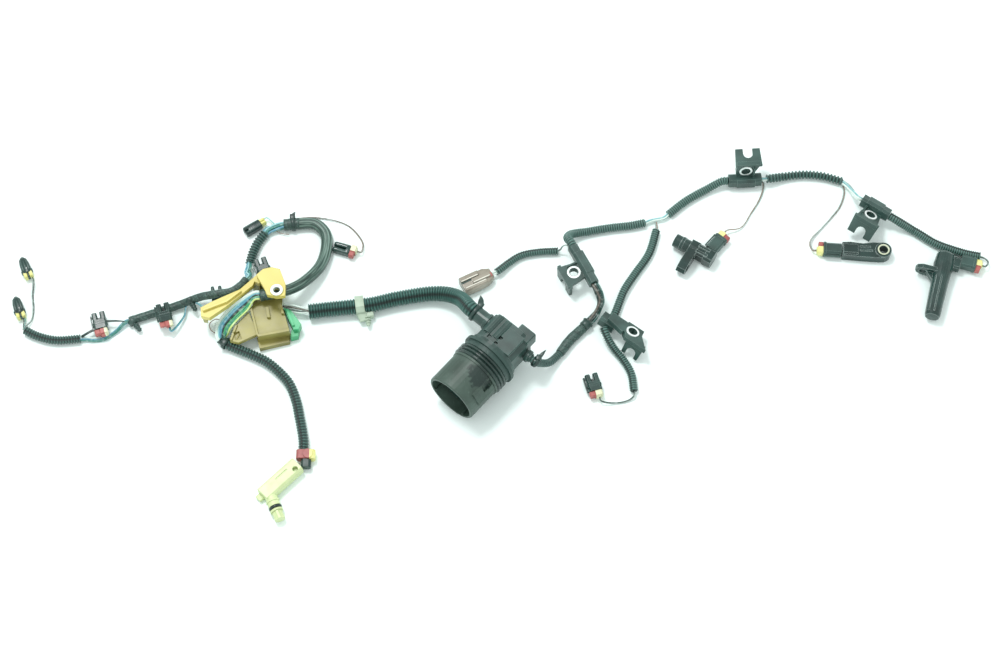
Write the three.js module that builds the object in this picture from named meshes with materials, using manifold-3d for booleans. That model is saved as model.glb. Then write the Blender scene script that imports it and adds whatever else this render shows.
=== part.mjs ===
// Wiring harness of an automatic gearbox, laid out on a bench. Millimetres, +Z up.
// X runs along the harness from the far left plugs to the far right sensor, and Y runs across it.
import * as THREE from 'three';
import { mergeVertices } from 'three/addons/utils/BufferGeometryUtils.js';
import Module from 'manifold-3d';

const wasm = await Module();
wasm.setup();

// Driving sizes
const GAP = 0.3; // between two pieces that touch on the real harness
const WELD = 0.0001; // vertices closer than this are one
const ROUND_SIDES = 20; // faces round a turned piece
const CORD_SIDES = 8; // faces round a cord
const STEP_DIAMETERS = 2.6; // length of one cord step, in cord diameters

const PLUG_LENGTH = 17; // body of the two-way plug, without its seal cap
const PLUG_WIDTH = 12.4;
const PLUG_HEIGHT = 10.4;
const CAP_LENGTH = 6; // seal cap and lock behind the two-way plug
const WIRE_HEIGHT = 5.2; // wires leave the seal cap this high
const WIRE_SIDE = -1.6; // and this far to one side of the middle

const BUSH_RADIUS = 6.5; // steel bush for an M8 bolt
const BUSH_BORE = 4.3;
const BUSH_LENGTH = 7.2;
const BUSH_PROUD = 0.7; // steel standing above the plastic round it
const BOSS_WALL = 2.2;
const TAB_THICKNESS = 4.5;
const TAB_HALF_WIDTH = 9.6;
const CHANNEL_HEIGHT = 11;
const FORK_WIDTH = 26;
const FORK_REACH = 18.4;
const FORK_THICKNESS = 3.2;
const FORK_SLOT = 9.4; // width of the U slot
const FORK_SLOT_DEPTH = 10;
const CHANNEL_INSET = 4; // how far the tab reaches under the channel
const FORK_START = 11; // from the bush centre to the bend of the fork

const BARREL_RADIUS = 25.6; // round plug
const MOUTH_RADIUS = 23;
const MOUTH_DEPTH = 17;
const BARREL_LENGTH = 52;
const FLANGE_RADIUS = 28.5;
const FLANGE_THICKNESS = 3.6;
const SEAL_START = 5; // from the flange to the seal groove
const SEAL_WIDTH = 11.6;
const GROOVE_RADIUS = 24.2;
const SEAL_RADIUS = 27.6;
const SHELL_WIDTH = 43;
const SHELL_HEIGHT = 42;
const SHELL_REACH = 32; // from the flange to the back of the shell
const NECK_RADIUS = 7.4;
const OUTLET_RADIUS = 4.6;
const NECK_LENGTH = 15.5;
const OUTLET_LENGTH = 7;
const NECK_RISE = 2; // the big neck stands this far over the plug axis, the outlet as far under it
const SHELL_FRONT = -FLANGE_THICKNESS - GAP;
const NECK_LINE = SHELL_FRONT - 24.4; // both necks stand on this line across the shell

const MAIN_RADIUS = 6.9; // corrugated tube to the round plug
const BRANCH_RADIUS = 3.7; // corrugated tubes of the branches
const WIDE_RADIUS = 4.2;
const LEAD_RADIUS = 1; // two thin wires of a lead

const LONG_ARM = 15.5; // long sensor, from the barrel axis to the socket face
const LONG_ARM_DROP = -3.2;
const CLAMP_SLACK = 0.6; // between the main tube and the clamp round it
const GUIDE_BUSH = [-210, 21.5]; // middle of the bush in the tan wire guide

// Turning drawn shapes into closed solids
function toSolid(geometry) {
  const plain = geometry.clone();
  plain.deleteAttribute('normal');
  plain.deleteAttribute('uv');
  const welded = mergeVertices(plain, WELD);
  const corners = welded.index.array;
  const faces = [];
  for (let i = 0; i < corners.length; i += 3) {
    const [a, b, c] = [corners[i], corners[i + 1], corners[i + 2]];
    if (a !== b && b !== c && c !== a) faces.push(a, b, c);
  }
  return new wasm.Manifold(new wasm.Mesh({
    numProp: 3,
    vertProperties: new Float32Array(welded.attributes.position.array),
    triVerts: new Uint32Array(faces),
  }));
}

function toGeometry(solid) {
  const mesh = solid.getMesh();
  const geometry = new THREE.BufferGeometry();
  geometry.setAttribute('position', new THREE.BufferAttribute(new Float32Array(mesh.vertProperties), 3));
  geometry.setIndex(new THREE.BufferAttribute(new Uint32Array(mesh.triVerts), 1));
  return geometry;
}

function join(...shapes) {
  return toGeometry(shapes.map(toSolid).reduce((whole, next) => whole.add(next)));
}

function cut(shape, ...tools) {
  return toGeometry(tools.map(toSolid).reduce((whole, tool) => whole.subtract(tool), toSolid(shape)));
}

// Basic forms
function block(length, width, height, x, y, z) {
  return new THREE.BoxGeometry(length, width, height).translate(x, y, z);
}

function sheet(outline, thickness) {
  const shape = new THREE.Shape(outline.map(([x, y]) => new THREE.Vector2(x, y)));
  return new THREE.ExtrudeGeometry(shape, { depth: thickness, bevelEnabled: false });
}

// An outline across X, drawn as [y, z], that reaches from x over its thickness.
function slab(outline, thickness, x) {
  return sheet(outline, thickness).rotateX(Math.PI / 2).rotateZ(Math.PI / 2).translate(x, 0, 0);
}

// A bar along X with its four long edges bevelled; x is its rear face.
function bar(length, width, height, bevel, x, y, z) {
  const [w, h] = [width / 2, height / 2];
  const section = [
    [-w + bevel, -h], [w - bevel, -h], [w, -h + bevel], [w, h - bevel],
    [w - bevel, h], [-w + bevel, h], [-w, h - bevel], [-w, -h + bevel],
  ];
  return slab(section, length, x).translate(0, y, z);
}

// A round bar along X from x, or turned to lie along Y or to stand along Z.
function rod(radius, length, x = 0, y = 0, z = 0, axis = 'x', sides = ROUND_SIDES) {
  const shape = new THREE.CylinderGeometry(radius, radius, length, sides).translate(0, length / 2, 0);
  if (axis === 'x') shape.rotateZ(-Math.PI / 2);
  if (axis === 'z') shape.rotateX(Math.PI / 2);
  return shape.translate(x, y, z);
}

// A shape turned about X from a profile of [along, radius] points.
function turned(profile, sides = ROUND_SIDES * 2) {
  const points = profile.map(([along, radius]) => new THREE.Vector2(radius, along));
  return new THREE.LatheGeometry(points, sides).rotateZ(-Math.PI / 2);
}

// A ring along Z with its top at the given height.
function ring(outer, inner, length, top) {
  return cut(
    rod(outer, length, 0, 0, top - length, 'z'),
    rod(inner, length + 2, 0, 0, top - length - 1, 'z'),
  );
}

// A cord of one round section that follows hand-placed points.
function cord(points, radius, sides = CORD_SIDES) {
  const path = new THREE.CatmullRomCurve3(points.map((p) => new THREE.Vector3(...p)), false, 'centripetal');
  const section = new THREE.Shape();
  for (let i = 0; i < sides; i++) {
    const angle = (2 * Math.PI * i) / sides;
    const [x, y] = [radius * Math.cos(angle), radius * Math.sin(angle)];
    if (i === 0) section.moveTo(x, y);
    else section.lineTo(x, y);
  }
  const steps = Math.max(3, Math.round(path.getLength() / (2 * radius * STEP_DIAMETERS)));
  return new THREE.ExtrudeGeometry(section, { steps, bevelEnabled: false, extrudePath: path });
}

// A place is a spot, the way X points and the way Z points. Its matrix moves a shape there.
function matrixOf([spot, along, normal = [0, 0, 1]]) {
  const z = new THREE.Vector3(...normal).normalize();
  const y = new THREE.Vector3().crossVectors(z, new THREE.Vector3(...along)).normalize();
  const x = new THREE.Vector3().crossVectors(y, z);
  return new THREE.Matrix4().makeBasis(x, y, z).setPosition(...spot);
}

function seat(shape, place) {
  return shape.applyMatrix4(matrixOf(place));
}

// Where a point of a seated shape comes to lie.
function at(place, point) {
  return new THREE.Vector3(...point).applyMatrix4(matrixOf(place)).toArray();
}

function heading(degrees, climb = 0) {
  const angle = THREE.MathUtils.degToRad(degrees);
  const rise = THREE.MathUtils.degToRad(climb);
  return [Math.cos(angle) * Math.cos(rise), Math.sin(angle) * Math.cos(rise), Math.sin(rise)];
}

// The point past the end of a route, straight on, where the next cord may start.
function beyond(route, distance = GAP) {
  const end = new THREE.Vector3(...route.at(-1));
  const step = end.clone().sub(new THREE.Vector3(...route.at(-2))).setLength(distance);
  return end.add(step).toArray();
}

// The point ahead of the start of a route, in line with it.
function before(route, distance = GAP) {
  const [start, next] = route;
  return beyond([next, start], distance);
}

// Finishes
const finishes = {
  black: { color: 0x3c5650, roughness: 0.5, metalness: 0 },
  conduit: { color: 0x35504a, roughness: 0.45, metalness: 0 },
  braid: { color: 0x5c7a70, roughness: 0.8, metalness: 0 },
  tape: { color: 0x425f58, roughness: 0.6, metalness: 0 },
  wire: { color: 0x7fb4ac, roughness: 0.5, metalness: 0 },
  red: { color: 0xa84a48, roughness: 0.5, metalness: 0 },
  yellow: { color: 0xe0dc7a, roughness: 0.5, metalness: 0 },
  tan: { color: 0xc9b95e, roughness: 0.5, metalness: 0 },
  green: { color: 0x56bd84, roughness: 0.5, metalness: 0 },
  brown: { color: 0x6a4f48, roughness: 0.5, metalness: 0 },
  cream: { color: 0xdde8b8, roughness: 0.5, metalness: 0 },
  beige: { color: 0xa8b492, roughness: 0.5, metalness: 0 },
  steel: { color: 0xd6e0dc, roughness: 0.3, metalness: 1 },
  rubber: { color: 0x2f423c, roughness: 0.75, metalness: 0 },
};

// Brings the middle of the laid-out harness to the origin
const TO_CENTRE = [-0.69, 9.76, 0.02];

const harness = new THREE.Group();
harness.name = 'wiring_harness';

function piece(name, geometry, finish) {
  geometry.translate(...TO_CENTRE);
  const mesh = new THREE.Mesh(geometry, new THREE.MeshStandardMaterial(finishes[finish]));
  mesh.name = name;
  harness.add(mesh);
}

// Two-way plug: X points out of its mouth and the wires leave at the origin.
function plugBody() {
  const start = CAP_LENGTH + GAP;
  const railLength = PLUG_LENGTH * 0.52;
  const railStart = start + PLUG_LENGTH - railLength;
  const middle = PLUG_HEIGHT / 2;
  const railWidth = PLUG_WIDTH * 0.39;
  const railOffset = (PLUG_WIDTH - railWidth) / 2;
  const shapes = [bar(PLUG_LENGTH - railLength + 1, PLUG_WIDTH, PLUG_HEIGHT, 1.6, start, 0, middle)];
  for (const side of [-1, 1]) {
    shapes.push(bar(railLength, railWidth, PLUG_HEIGHT - 1, 1.2, railStart, side * railOffset, middle));
  }
  // bridge under the two rails, and a shoulder round the middle
  shapes.push(bar(railLength - 3, PLUG_WIDTH - 2, 2.6, 0.4, railStart, 0, 2.4));
  shapes.push(bar(2.2, PLUG_WIDTH + 1.4, PLUG_HEIGHT + 0.2, 2, start + 4.5, 0, middle + 0.1));
  // latch arm along one side, tied to the body at both ends
  const latchSide = PLUG_WIDTH / 2 + 1.5;
  shapes.push(block(PLUG_LENGTH - 2, 1.2, 3, start + PLUG_LENGTH / 2, latchSide, middle));
  for (const x of [start + 2, start + PLUG_LENGTH - 2.4]) {
    shapes.push(block(1.8, 2.4, 3, x, latchSide - 1.1, middle));
  }
  const sockets = [-1, 1].map((side) => (
    block(7, 2, 2, railStart + railLength - 3, side * railOffset, middle + 0.8)
  ));
  return cut(join(...shapes), ...sockets);
}

// Red lock beside the yellow seal cap, moulded as one clip-in piece.
function plugCap() {
  return join(
    bar(CAP_LENGTH - 1, 8, 8.4, 1.2, 1, WIRE_SIDE, WIRE_HEIGHT),
    bar(1.6, 5.4, 6, 1, 0, WIRE_SIDE, WIRE_HEIGHT),
    bar(CAP_LENGTH - 1.6, 5.6, 6.6, 1, 1.6, 4, 5.4),
  );
}

function twoWayPlug(name, colour) {
  piece(`plug_${name}`, seat(plugBody(), places[name]), 'black');
  if (colour) piece(`lock_${name}`, seat(plugCap(), places[name]), colour);
}

// A plug with its seal cap pressed on is one body.
function cappedPlug(name) {
  const cap = bar(CAP_LENGTH + 1, 8, 8.4, 1.2, 0, WIRE_SIDE, WIRE_HEIGHT);
  piece(`plug_${name}`, seat(join(plugBody(), cap), places[name]), 'black');
}

// Where the wires of a small plug start, at some distance behind its cap.
function wireExit(name, distance = GAP) {
  return at(places[name], [-distance, WIRE_SIDE, WIRE_HEIGHT]);
}

// Bolt-on bracket: the bush centre is the origin, the channel lies along X on the +Y side,
// and a fork bends down from the -Y side.
function bracket({
  channelLength, channelShift, channelOffset, channelWidth, channelMiddle,
  forkStart = FORK_START, forkShift = 0, forkWidth = FORK_WIDTH, bend = 90, arm = [], extra = [],
}) {
  const half = forkWidth / 2;
  const slot = FORK_SLOT / 2;
  const arc = [];
  for (let i = 0; i <= 6; i++) {
    const angle = Math.PI * (i / 6);
    arc.push([slot * Math.cos(angle), -FORK_REACH + FORK_SLOT_DEPTH - slot + slot * Math.sin(angle)]);
  }
  const forkOutline = [
    [half, 0], [-half, 0], [-half + 1, -FORK_REACH], [-slot, -FORK_REACH],
    ...arc.reverse(), [slot, -FORK_REACH], [half - 1, -FORK_REACH],
  ];
  const fork = sheet(forkOutline, FORK_THICKNESS)
    .translate(0, 0, -FORK_THICKNESS)
    .rotateX(THREE.MathUtils.degToRad(bend))
    .translate(forkShift, -forkStart, 0);
  const tabOutline = [
    [-TAB_HALF_WIDTH - 2 + forkShift, -forkStart - 1], [TAB_HALF_WIDTH + 2 + forkShift, -forkStart - 1],
    [TAB_HALF_WIDTH, 2], [TAB_HALF_WIDTH - 1, channelOffset - CHANNEL_INSET],
    [-TAB_HALF_WIDTH + 1, channelOffset - CHANNEL_INSET], [-TAB_HALF_WIDTH, 2],
  ];
  const bossRadius = BUSH_RADIUS + BOSS_WALL;
  const shapes = [
    fork,
    sheet(tabOutline, TAB_THICKNESS).translate(0, 0, -TAB_THICKNESS),
    rod(bossRadius, BUSH_LENGTH - BUSH_PROUD, 0, 0, BUSH_PROUD - BUSH_LENGTH, 'z'),
    ...extra,
  ];
  if (channelLength) {
    const start = channelShift - channelLength / 2;
    shapes.push(
      bar(channelLength, channelWidth, CHANNEL_HEIGHT, 2.2, start, channelOffset, channelMiddle),
      bar(channelLength * 0.55, channelWidth + 1.4, CHANNEL_HEIGHT + 1.4, 2.6,
        channelShift - channelLength * 0.3, channelOffset + 0.7, channelMiddle),
      block(1.6, channelOffset + 4, 3, -TAB_HALF_WIDTH + 1.6, 4, 0.6),
    );
  }
  if (arm.length) shapes.push(sheet(arm, TAB_THICKNESS).translate(0, 0, -TAB_THICKNESS));
  const bore = rod(BUSH_RADIUS + GAP, BUSH_LENGTH + 4, 0, 0, BUSH_PROUD - BUSH_LENGTH - 2, 'z');
  return cut(join(...shapes), bore);
}

function clip(name) {
  const place = places[`clip_${name}`];
  piece(`clip_${name}`, seat(bracket(clips[name]), place), 'black');
  const bush = ring(BUSH_RADIUS, BUSH_BORE, BUSH_LENGTH, BUSH_PROUD);
  piece(`bush_${name}`, seat(bush, place), 'steel');
}

// A point on the channel line of a clip, beyond its low or high end.
function channelEnd(name, side, distance = GAP, aside = 0) {
  const { channelLength, channelShift, channelOffset, channelMiddle } = clips[name];
  const x = channelShift + side * (channelLength / 2 + distance);
  return at(places[`clip_${name}`], [x, channelOffset + aside, channelMiddle]);
}

// Round plug: X points out of its mouth, the flange is at the origin.
function roundPlug(place) {
  const groove = SEAL_START + SEAL_WIDTH;
  const floor = BARREL_LENGTH - MOUTH_DEPTH;
  const barrel = turned([
    [-FLANGE_THICKNESS, 0], [-FLANGE_THICKNESS, FLANGE_RADIUS], [0, FLANGE_RADIUS],
    [0, BARREL_RADIUS + 0.8], [SEAL_START, BARREL_RADIUS + 0.8], [SEAL_START, GROOVE_RADIUS],
    [groove, GROOVE_RADIUS], [groove, BARREL_RADIUS + 0.8], [groove + 2.4, BARREL_RADIUS + 0.8],
    [groove + 2.4, BARREL_RADIUS], [BARREL_LENGTH - 1, BARREL_RADIUS], [BARREL_LENGTH, BARREL_RADIUS - 0.8],
    [BARREL_LENGTH, MOUTH_RADIUS], [floor, MOUTH_RADIUS], [floor, 0],
  ]);
  // key pad on the side of the barrel, with a notch beside it
  const pad = seat(bar(22, 15, 4, 1.2, 20, 0, BARREL_RADIUS - 1), [[0, 0, 0], [1, 0, 0], [0, 0.86, 0.5]]);
  const notch = seat(block(12, 7, 5, 25, -3, BARREL_RADIUS + 1), [[0, 0, 0], [1, 0, 0], [0, 0.86, 0.5]]);
  const keys = [0, 120, 215].map((turn) => (
    block(MOUTH_DEPTH, 2.4, 2, floor + MOUTH_DEPTH / 2 - 1, 0, MOUTH_RADIUS - 0.4)
      .rotateX(THREE.MathUtils.degToRad(turn))
  ));
  const shell = cut(join(barrel, pad, ...keys), notch);
  piece('round_plug', seat(shell, place), 'black');

  // seal with three lips
  const seal = [[SEAL_START + GAP, GROOVE_RADIUS + GAP], [SEAL_START + GAP, SEAL_RADIUS - 1]];
  const lips = 3;
  const pitch = (SEAL_WIDTH - 2 * GAP) / lips;
  for (let i = 0; i < lips; i++) {
    const from = SEAL_START + GAP + i * pitch;
    seal.push([from + pitch * 0.3, SEAL_RADIUS], [from + pitch * 0.7, SEAL_RADIUS]);
    seal.push([from + pitch, SEAL_RADIUS - 1.6]);
  }
  seal.push([groove - GAP, GROOVE_RADIUS + GAP], seal[0]);
  piece('round_plug_seal', seat(turned(seal), place), 'rubber');

  // contact block in the mouth, with its rows of sockets
  const blockStart = floor + GAP;
  const sockets = [];
  for (const [row, count] of [[-10, 4], [-3.4, 5], [3.4, 5], [10, 4]]) {
    for (let i = 0; i < count; i++) {
      sockets.push(block(3, 2.2, 2.2, blockStart + 6, (i - (count - 1) / 2) * 6, row));
    }
  }
  const contacts = cut(rod(MOUTH_RADIUS - 3, 6, blockStart, 0, 0, 'x', 28), ...sockets);
  piece('contact_block', seat(contacts, place), 'rubber');
}

// Back shell of the round plug with one neck to each side.
function backShell(place) {
  const back = SHELL_FRONT - SHELL_REACH;
  const wide = SHELL_WIDTH / 2;
  const high = SHELL_HEIGHT / 2;
  const shapes = [
    rod(BARREL_RADIUS, 4, SHELL_FRONT - 4, 0, 0, 'x', 32),
    bar(SHELL_REACH, SHELL_WIDTH, SHELL_HEIGHT, 9, back, 0, 0),
    bar(SHELL_REACH - 9, 19, 3, 1, back + 5, 9, high),
    bar(12, 17, 17, 1.2, back - 7, 13, 9),
    rod(NECK_RADIUS, NECK_LENGTH + 3, NECK_LINE, -wide - NECK_LENGTH, NECK_RISE, 'y'),
    rod(NECK_RADIUS + 1.2, 3, NECK_LINE, -wide - 5, NECK_RISE, 'y'),
    rod(OUTLET_RADIUS, OUTLET_LENGTH + 3, NECK_LINE, wide - 3, -NECK_RISE, 'y'),
    rod(OUTLET_RADIUS + 1.6, 3, NECK_LINE, wide + 2, -NECK_RISE, 'y'),
  ];
  // two half-round ridges over the wire exits
  for (const y of [-13, -3.5]) shapes.push(rod(4.4, SHELL_REACH - 11, back + 1, y, high - 2.6, 'x', 12));
  // open pockets moulded into the top
  const pockets = [[-8, -8.6], [-13, 1], [-6, 0.6]].map(([x, y]) => (
    block(3.6, 4, 6, SHELL_FRONT + x, y, high + 1)
  ));
  piece('back_shell', seat(cut(join(...shapes), ...pockets), place), 'black');
}

// Brown plug with a latch on top: X points out of its mouth, the wires leave at the origin.
function brownPlug() {
  const body = join(
    bar(17, 19, 13, 2, 0.6, 0, 6.5),
    bar(16, 16.4, 11, 2.4, 17, 0, 6.3),
    bar(12, 6, 3, 0.8, 5, 0, 13.4),
    bar(2, 20.4, 14.2, 2, 16.4, 0, 7.1),
    bar(7, 3, 1.6, 0.4, 24, 4, 12.1),
    bar(7, 3, 1.6, 0.4, 24, -4, 12.1),
  );
  return cut(body, block(12, 11.6, 6, 30, 0, 6.4), block(5, 3.4, 4, 12, 0, 15));
}

// Speed sensor with a plain round barrel, a bolt ear and a side socket.
// X points along the barrel, the sealing face is at the origin.
function shortSensor() {
  const ear = slab([[-6, -7.4], [20, -6.4], [26, -4.4], [28.4, 0], [26, 4.4], [20, 6.4], [-6, 7.4]], 9, -9);
  const body = join(
    rod(6.6, 17, -1),
    rod(7.1, 3, 6),
    rod(7.6, 9, -9),
    ear,
    bar(17, 13, 13.6, 2, -25, 0, 0),
    bar(9, 15, 14.6, 2.4, -26, 0, 0),
    bar(12, 3, 1.6, 0.4, -20, -3, 7),
    bar(12, 3, 1.6, 0.4, -20, 3, 7),
  );
  return cut(body, rod(4, 14, -11, 21, 0));
}

// Flat sensor with a bolt eye: X points from its socket to the eye, the socket end is at the origin.
function flatSensor() {
  const outline = [
    [0, -7], [18, -8], [36, -8.4], [41, -8], [45.5, -5], [47.4, 0], [45.5, 5], [41, 8], [30, 8],
    [20, 6.4], [8, 7.6], [0, 7],
  ];
  const body = join(
    sheet(outline, 10),
    bar(14, 12.6, 11.4, 2, 1, 0, 5.7),
    bar(12, 2, 1, 0.2, 17, -1, 10.2),
    rod(7.9, 11, 39.4, 0, 0, 'z'),
  );
  return cut(body, rod(4.3, 14, 39.4, 0, -1, 'z'), block(10, 1.6, 2, 22, 3, 10.4));
}

// Long sensor: X points down the barrel from its head.
function longSensor() {
  const barrel = turned([
    [0, 0], [0, 7.2], [2, 8.4], [12, 9.6], [20, 9.2], [30, 8.4], [67, 7.4], [69.5, 6.6], [70, 0],
  ], 24);
  const ear = cut(
    slab([[-19, -7], [-24, -4], [-25.4, 0], [-24, 4], [-19, 7], [0, 7], [0, -7]], 4.4, 19.6),
    rod(3.4, 10, 16.6, -18, 0),
  );
  const gusset = sheet([[23.6, -15], [33, -7], [33, 0], [21.6, 0], [21.6, -15]], 5).translate(0, 0, -2.5);
  const arm = bar(LONG_ARM, 12, 10, 1.6, 0, 0, 0).rotateZ(Math.PI / 2).translate(6.5, 0, LONG_ARM_DROP);
  const ribs = [0, 40].map((turn) => (
    block(46, 1.4, 1.2, 43, 0, 8).rotateX(THREE.MathUtils.degToRad(turn))
  ));
  return join(barrel, ear, gusset, arm, ...ribs);
}

// Socket shroud of a sensor lead with a wire bail over it: X points into the sensor.
function sensorPlug(length) {
  const start = CAP_LENGTH + GAP;
  const body = join(
    bar(length, 11.6, 10.4, 1.8, start, 0, 5.2),
    bar(2.4, 13, 11, 1.8, start, 0, 5.5),
    block(length - 2, 1.1, 1.6, start + length / 2, -7.4, 6),
    block(1.4, 2.6, 1.6, start + 1.8, -6.4, 6),
    block(1.4, 2.6, 1.6, start + length - 2, -6.4, 6),
  );
  return body;
}

// Cream sensor with a flat box body, an eye slot and a sealed nozzle.
// X points from the plug end to the far end of the box.
function creamSensor() {
  const box = bar(43, 15, 12, 2, 0, 0, 6.2);
  const nozzle = seat(join(
    rod(5.6, 12, 2), rod(6.2, 1.6, 8), rod(4.6, 6, 13), rod(6, 2, 17.6), rod(4.8, 10, 18),
    bar(8, 3, 2, 0.4, 20, 0, 4.6),
  ), [[37, 2, 6.3], [0.4, 1, 0]]);
  const tab = bar(6, 7, 3, 0.8, 42, -2, 3);
  return cut(join(box, nozzle, tab), rod(2.6, 6, 5.4, 3, 8, 'z'), block(14, 1.4, 1.2, 18, -2, 12.2));
}

// Tan wire guide: a base with a lower lip, a slanted tongue, and a cap bridging the sleeve.
function wireGuide() {
  const layer = (outline, bottom, top) => sheet(outline, top - bottom).translate(0, 0, bottom);
  const main = layer([[-237, 13], [-231, 20], [-210, 24], [-207, 17], [-198, -12], [-228, -18]], 3, 15);
  const left = layer([[-238, 9], [-228, -14], [-246, -23], [-254, -21], [-250, -6]], 10.6, 15);
  const lip = layer([[-230, -14], [-227, -25], [-199, -18], [-199, -9]], 0, 6);
  const tongue = layer([
    [-230, 43], [-246, 27], [-272, 14], [-282, 8], [-281, -1], [-273, -3], [-258, 9], [-246, 20], [-234, 31],
  ], 21, 27);
  const tongueRib = layer([[-280, 5], [-258, 15], [-245, 26], [-244, 24], [-257, 12.6], [-279, 3]], 26, 30);
  const tongueEnd = layer([[-281, 8], [-280, -1], [-276, -2], [-277, 10]], 13, 22);
  const post = layer([[-236, 37], [-228, 44], [-222, 40], [-228, 33]], 0.4, 27);
  const cap = layer([
    [-230, 38], [-224, 44], [-216, 46], [-208, 44], [-205, 36], [-202, 28], [-202, 16], [-210, 15],
    [-219, 17], [-222, 24],
  ], 30.6, 36);
  const capWall = layer([[-230, 38], [-224, 44], [-214, 45], [-210, 40], [-222, 35]], 20, 33);
  const capFoot = layer([[-230, 36], [-225, 41], [-211, 41], [-208, 37], [-222, 32]], 0.4, 24);
  const base = layer([[-236, 30], [-230, 38], [-208, 38], [-208, 22], [-236, 12]], 0.4, 5);
  const ribs = [
    layer([[-222, 13], [-219, 13], [-217, 2], [-220, 2]], 14, 18),
    layer([[-208.4, 14], [-206, 12], [-204, 6], [-206.6, 6]], 14, 18),
    layer([[-237, 12], [-235, 13], [-227, -16], [-229, -16.6]], 14, 17.5),
    layer([[-228.4, -15.4], [-227.8, -18], [-198.2, -12], [-198.8, -9.4]], 14, 17.5),
    layer([[-250, -6], [-247.6, -5], [-252, -21], [-254, -20.6]], 14, 17),
  ];
  const body = join(
    base, main, left, lip, tongue, tongueRib, tongueEnd, post, cap, capWall, capFoot, ...ribs,
  );
  const boss = rod(6.4, 6, GUIDE_BUSH[0], GUIDE_BUSH[1], 30.7, 'z');
  const bore = rod(3.6, 12, GUIDE_BUSH[0], GUIDE_BUSH[1], 28, 'z');
  const window = layer([[-251, -13], [-246, -11], [-243, -19], [-249, -20]], 5, 20);
  return cut(join(body, boss), bore, window);
}

function greenLock() {
  const layer = (outline, bottom, top) => sheet(outline, top - bottom).translate(0, 0, bottom);
  return join(
    layer([[-205.6, 14], [-198, 11], [-188, -3], [-190, -8], [-195, -9]], 4, 14),
    layer([[-197.4, -7], [-190, -5], [-191, -13], [-197.8, -15]], 0.4, 9),
    layer([[-203, 11], [-200.6, 12], [-194, -5], [-196, -6]], 13, 16.4),
  );
}

// Beige tube clamp with a fir-tree foot, closed loosely round the tube.
function tubeClamp(place) {
  const band = cut(
    join(
      bar(8.4, 17.6, 16.4, 4.2, -4.2, 0, 0),
      bar(14, 6, 6, 1, -2, -9.4, -3),
    ),
    rod(MAIN_RADIUS + CLAMP_SLACK, 20, -10, 0, 0),
  );
  const foot = [rod(1.7, 12, 6, -21, -2, 'y', 10)];
  for (const [i, radius] of [3.4, 3, 2.6].entries()) {
    foot.push(rod(radius, 1.2, 6, -13 - 2.8 * i, -2, 'y', 10));
  }
  piece('tube_clamp', seat(join(band, ...foot), place), 'beige');
}

// Fir-tree stud that pins the taped trunk down, with its collar.
function stud(place) {
  const shape = join(
    rod(4.6, 3.4, 0, 0, 0, 'x', 12),
    rod(1.5, 13, 1, 0, 0, 'x', 8),
    rod(2.8, 1, 7, 0, 0, 'x', 8),
    rod(2.5, 1, 10, 0, 0, 'x', 8),
  );
  return seat(shape, place);
}

// Where the pieces lie: spot, the way X points, the way Z points
const tabTilt = [0.32, 0.375, 0.87]; // the fourth clip leans away from the camera side
const places = {
  far_left_upper: [[-450.9, 50, 0], heading(114)],
  far_left_lower: [[-454.3, 7.2, 0], heading(110)],
  left_first: [[-375.4, -12.4, 2.7], heading(106)],
  left_second: [[-314.6, -3.6, 4.6], heading(106, 15), [0.071, -0.249, 0.966]],
  left_third: [[-269.5, 24.4, 0], heading(97)],
  upper_left: [[-228.6, 112.8, 0], heading(215)],
  loose: [[-138.5, 77.2, 0], heading(162)],
  lower_right: [[91.5, -75, 0], heading(106)],
  behind_guide: [[-221.5, 42.6, 9], heading(112)],
  brown: [[-7.4, 53.8, 0], heading(207)],
  round_plug: [[-11.2, -47, FLANGE_RADIUS + 0.1], [-0.658, -0.753, 0]],
  clip_first: [[70.4, 48.8, 19.2], [0.454, -0.891, 0]],
  clip_second: [[125, -12.5, 16.6], [0.84, -0.5, 0], [0.334, 0.316, 0.886]],
  clip_third: [[239.6, 158.4, 21.4], [-0.998, -0.06, 0], [0.06, -0.99, 0.1]],
  clip_fourth: [[357.8, 110.4, 19.6], [0.841, -0.534, -0.079], tabTilt],
  sensor_short: [[183, 81.5, 7.6], heading(149)],
  sensor_flat: [[330, 79.4, 0], heading(-3)],
  sensor_long: [[429, 73, 9.8], heading(-106)],
  socket_short: [[218.4, 97.3, 0], heading(230)],
  socket_flat: [[306, 81.2, 0], heading(-4)],
  socket_long: [[463, 60.8, 1.4], heading(164)],
  sensor_cream: [[-186, -143, 0], heading(-135)],
  lock_cream: [[-179, -128.4, 0], heading(-90)],
  tube_clamp: [[-133.4, 18.5, 8.6], heading(8)],
  stud_first: [[-349.9, 4.8, 4.7], heading(-50)],
  stud_second: [[-296, 25.4, 9], heading(-60)],
};

// Small plugs and their locks
cappedPlug('far_left_upper');
cappedPlug('far_left_lower');
twoWayPlug('left_first', 'red');
twoWayPlug('left_second', 'red');
cappedPlug('left_third');
cappedPlug('upper_left');
cappedPlug('behind_guide');
twoWayPlug('loose', 'yellow');
twoWayPlug('lower_right', 'red');
piece('plug_brown', seat(brownPlug(), places.brown), 'brown');

// Round plug and its back shell
roundPlug(places.round_plug);
backShell(places.round_plug);

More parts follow.
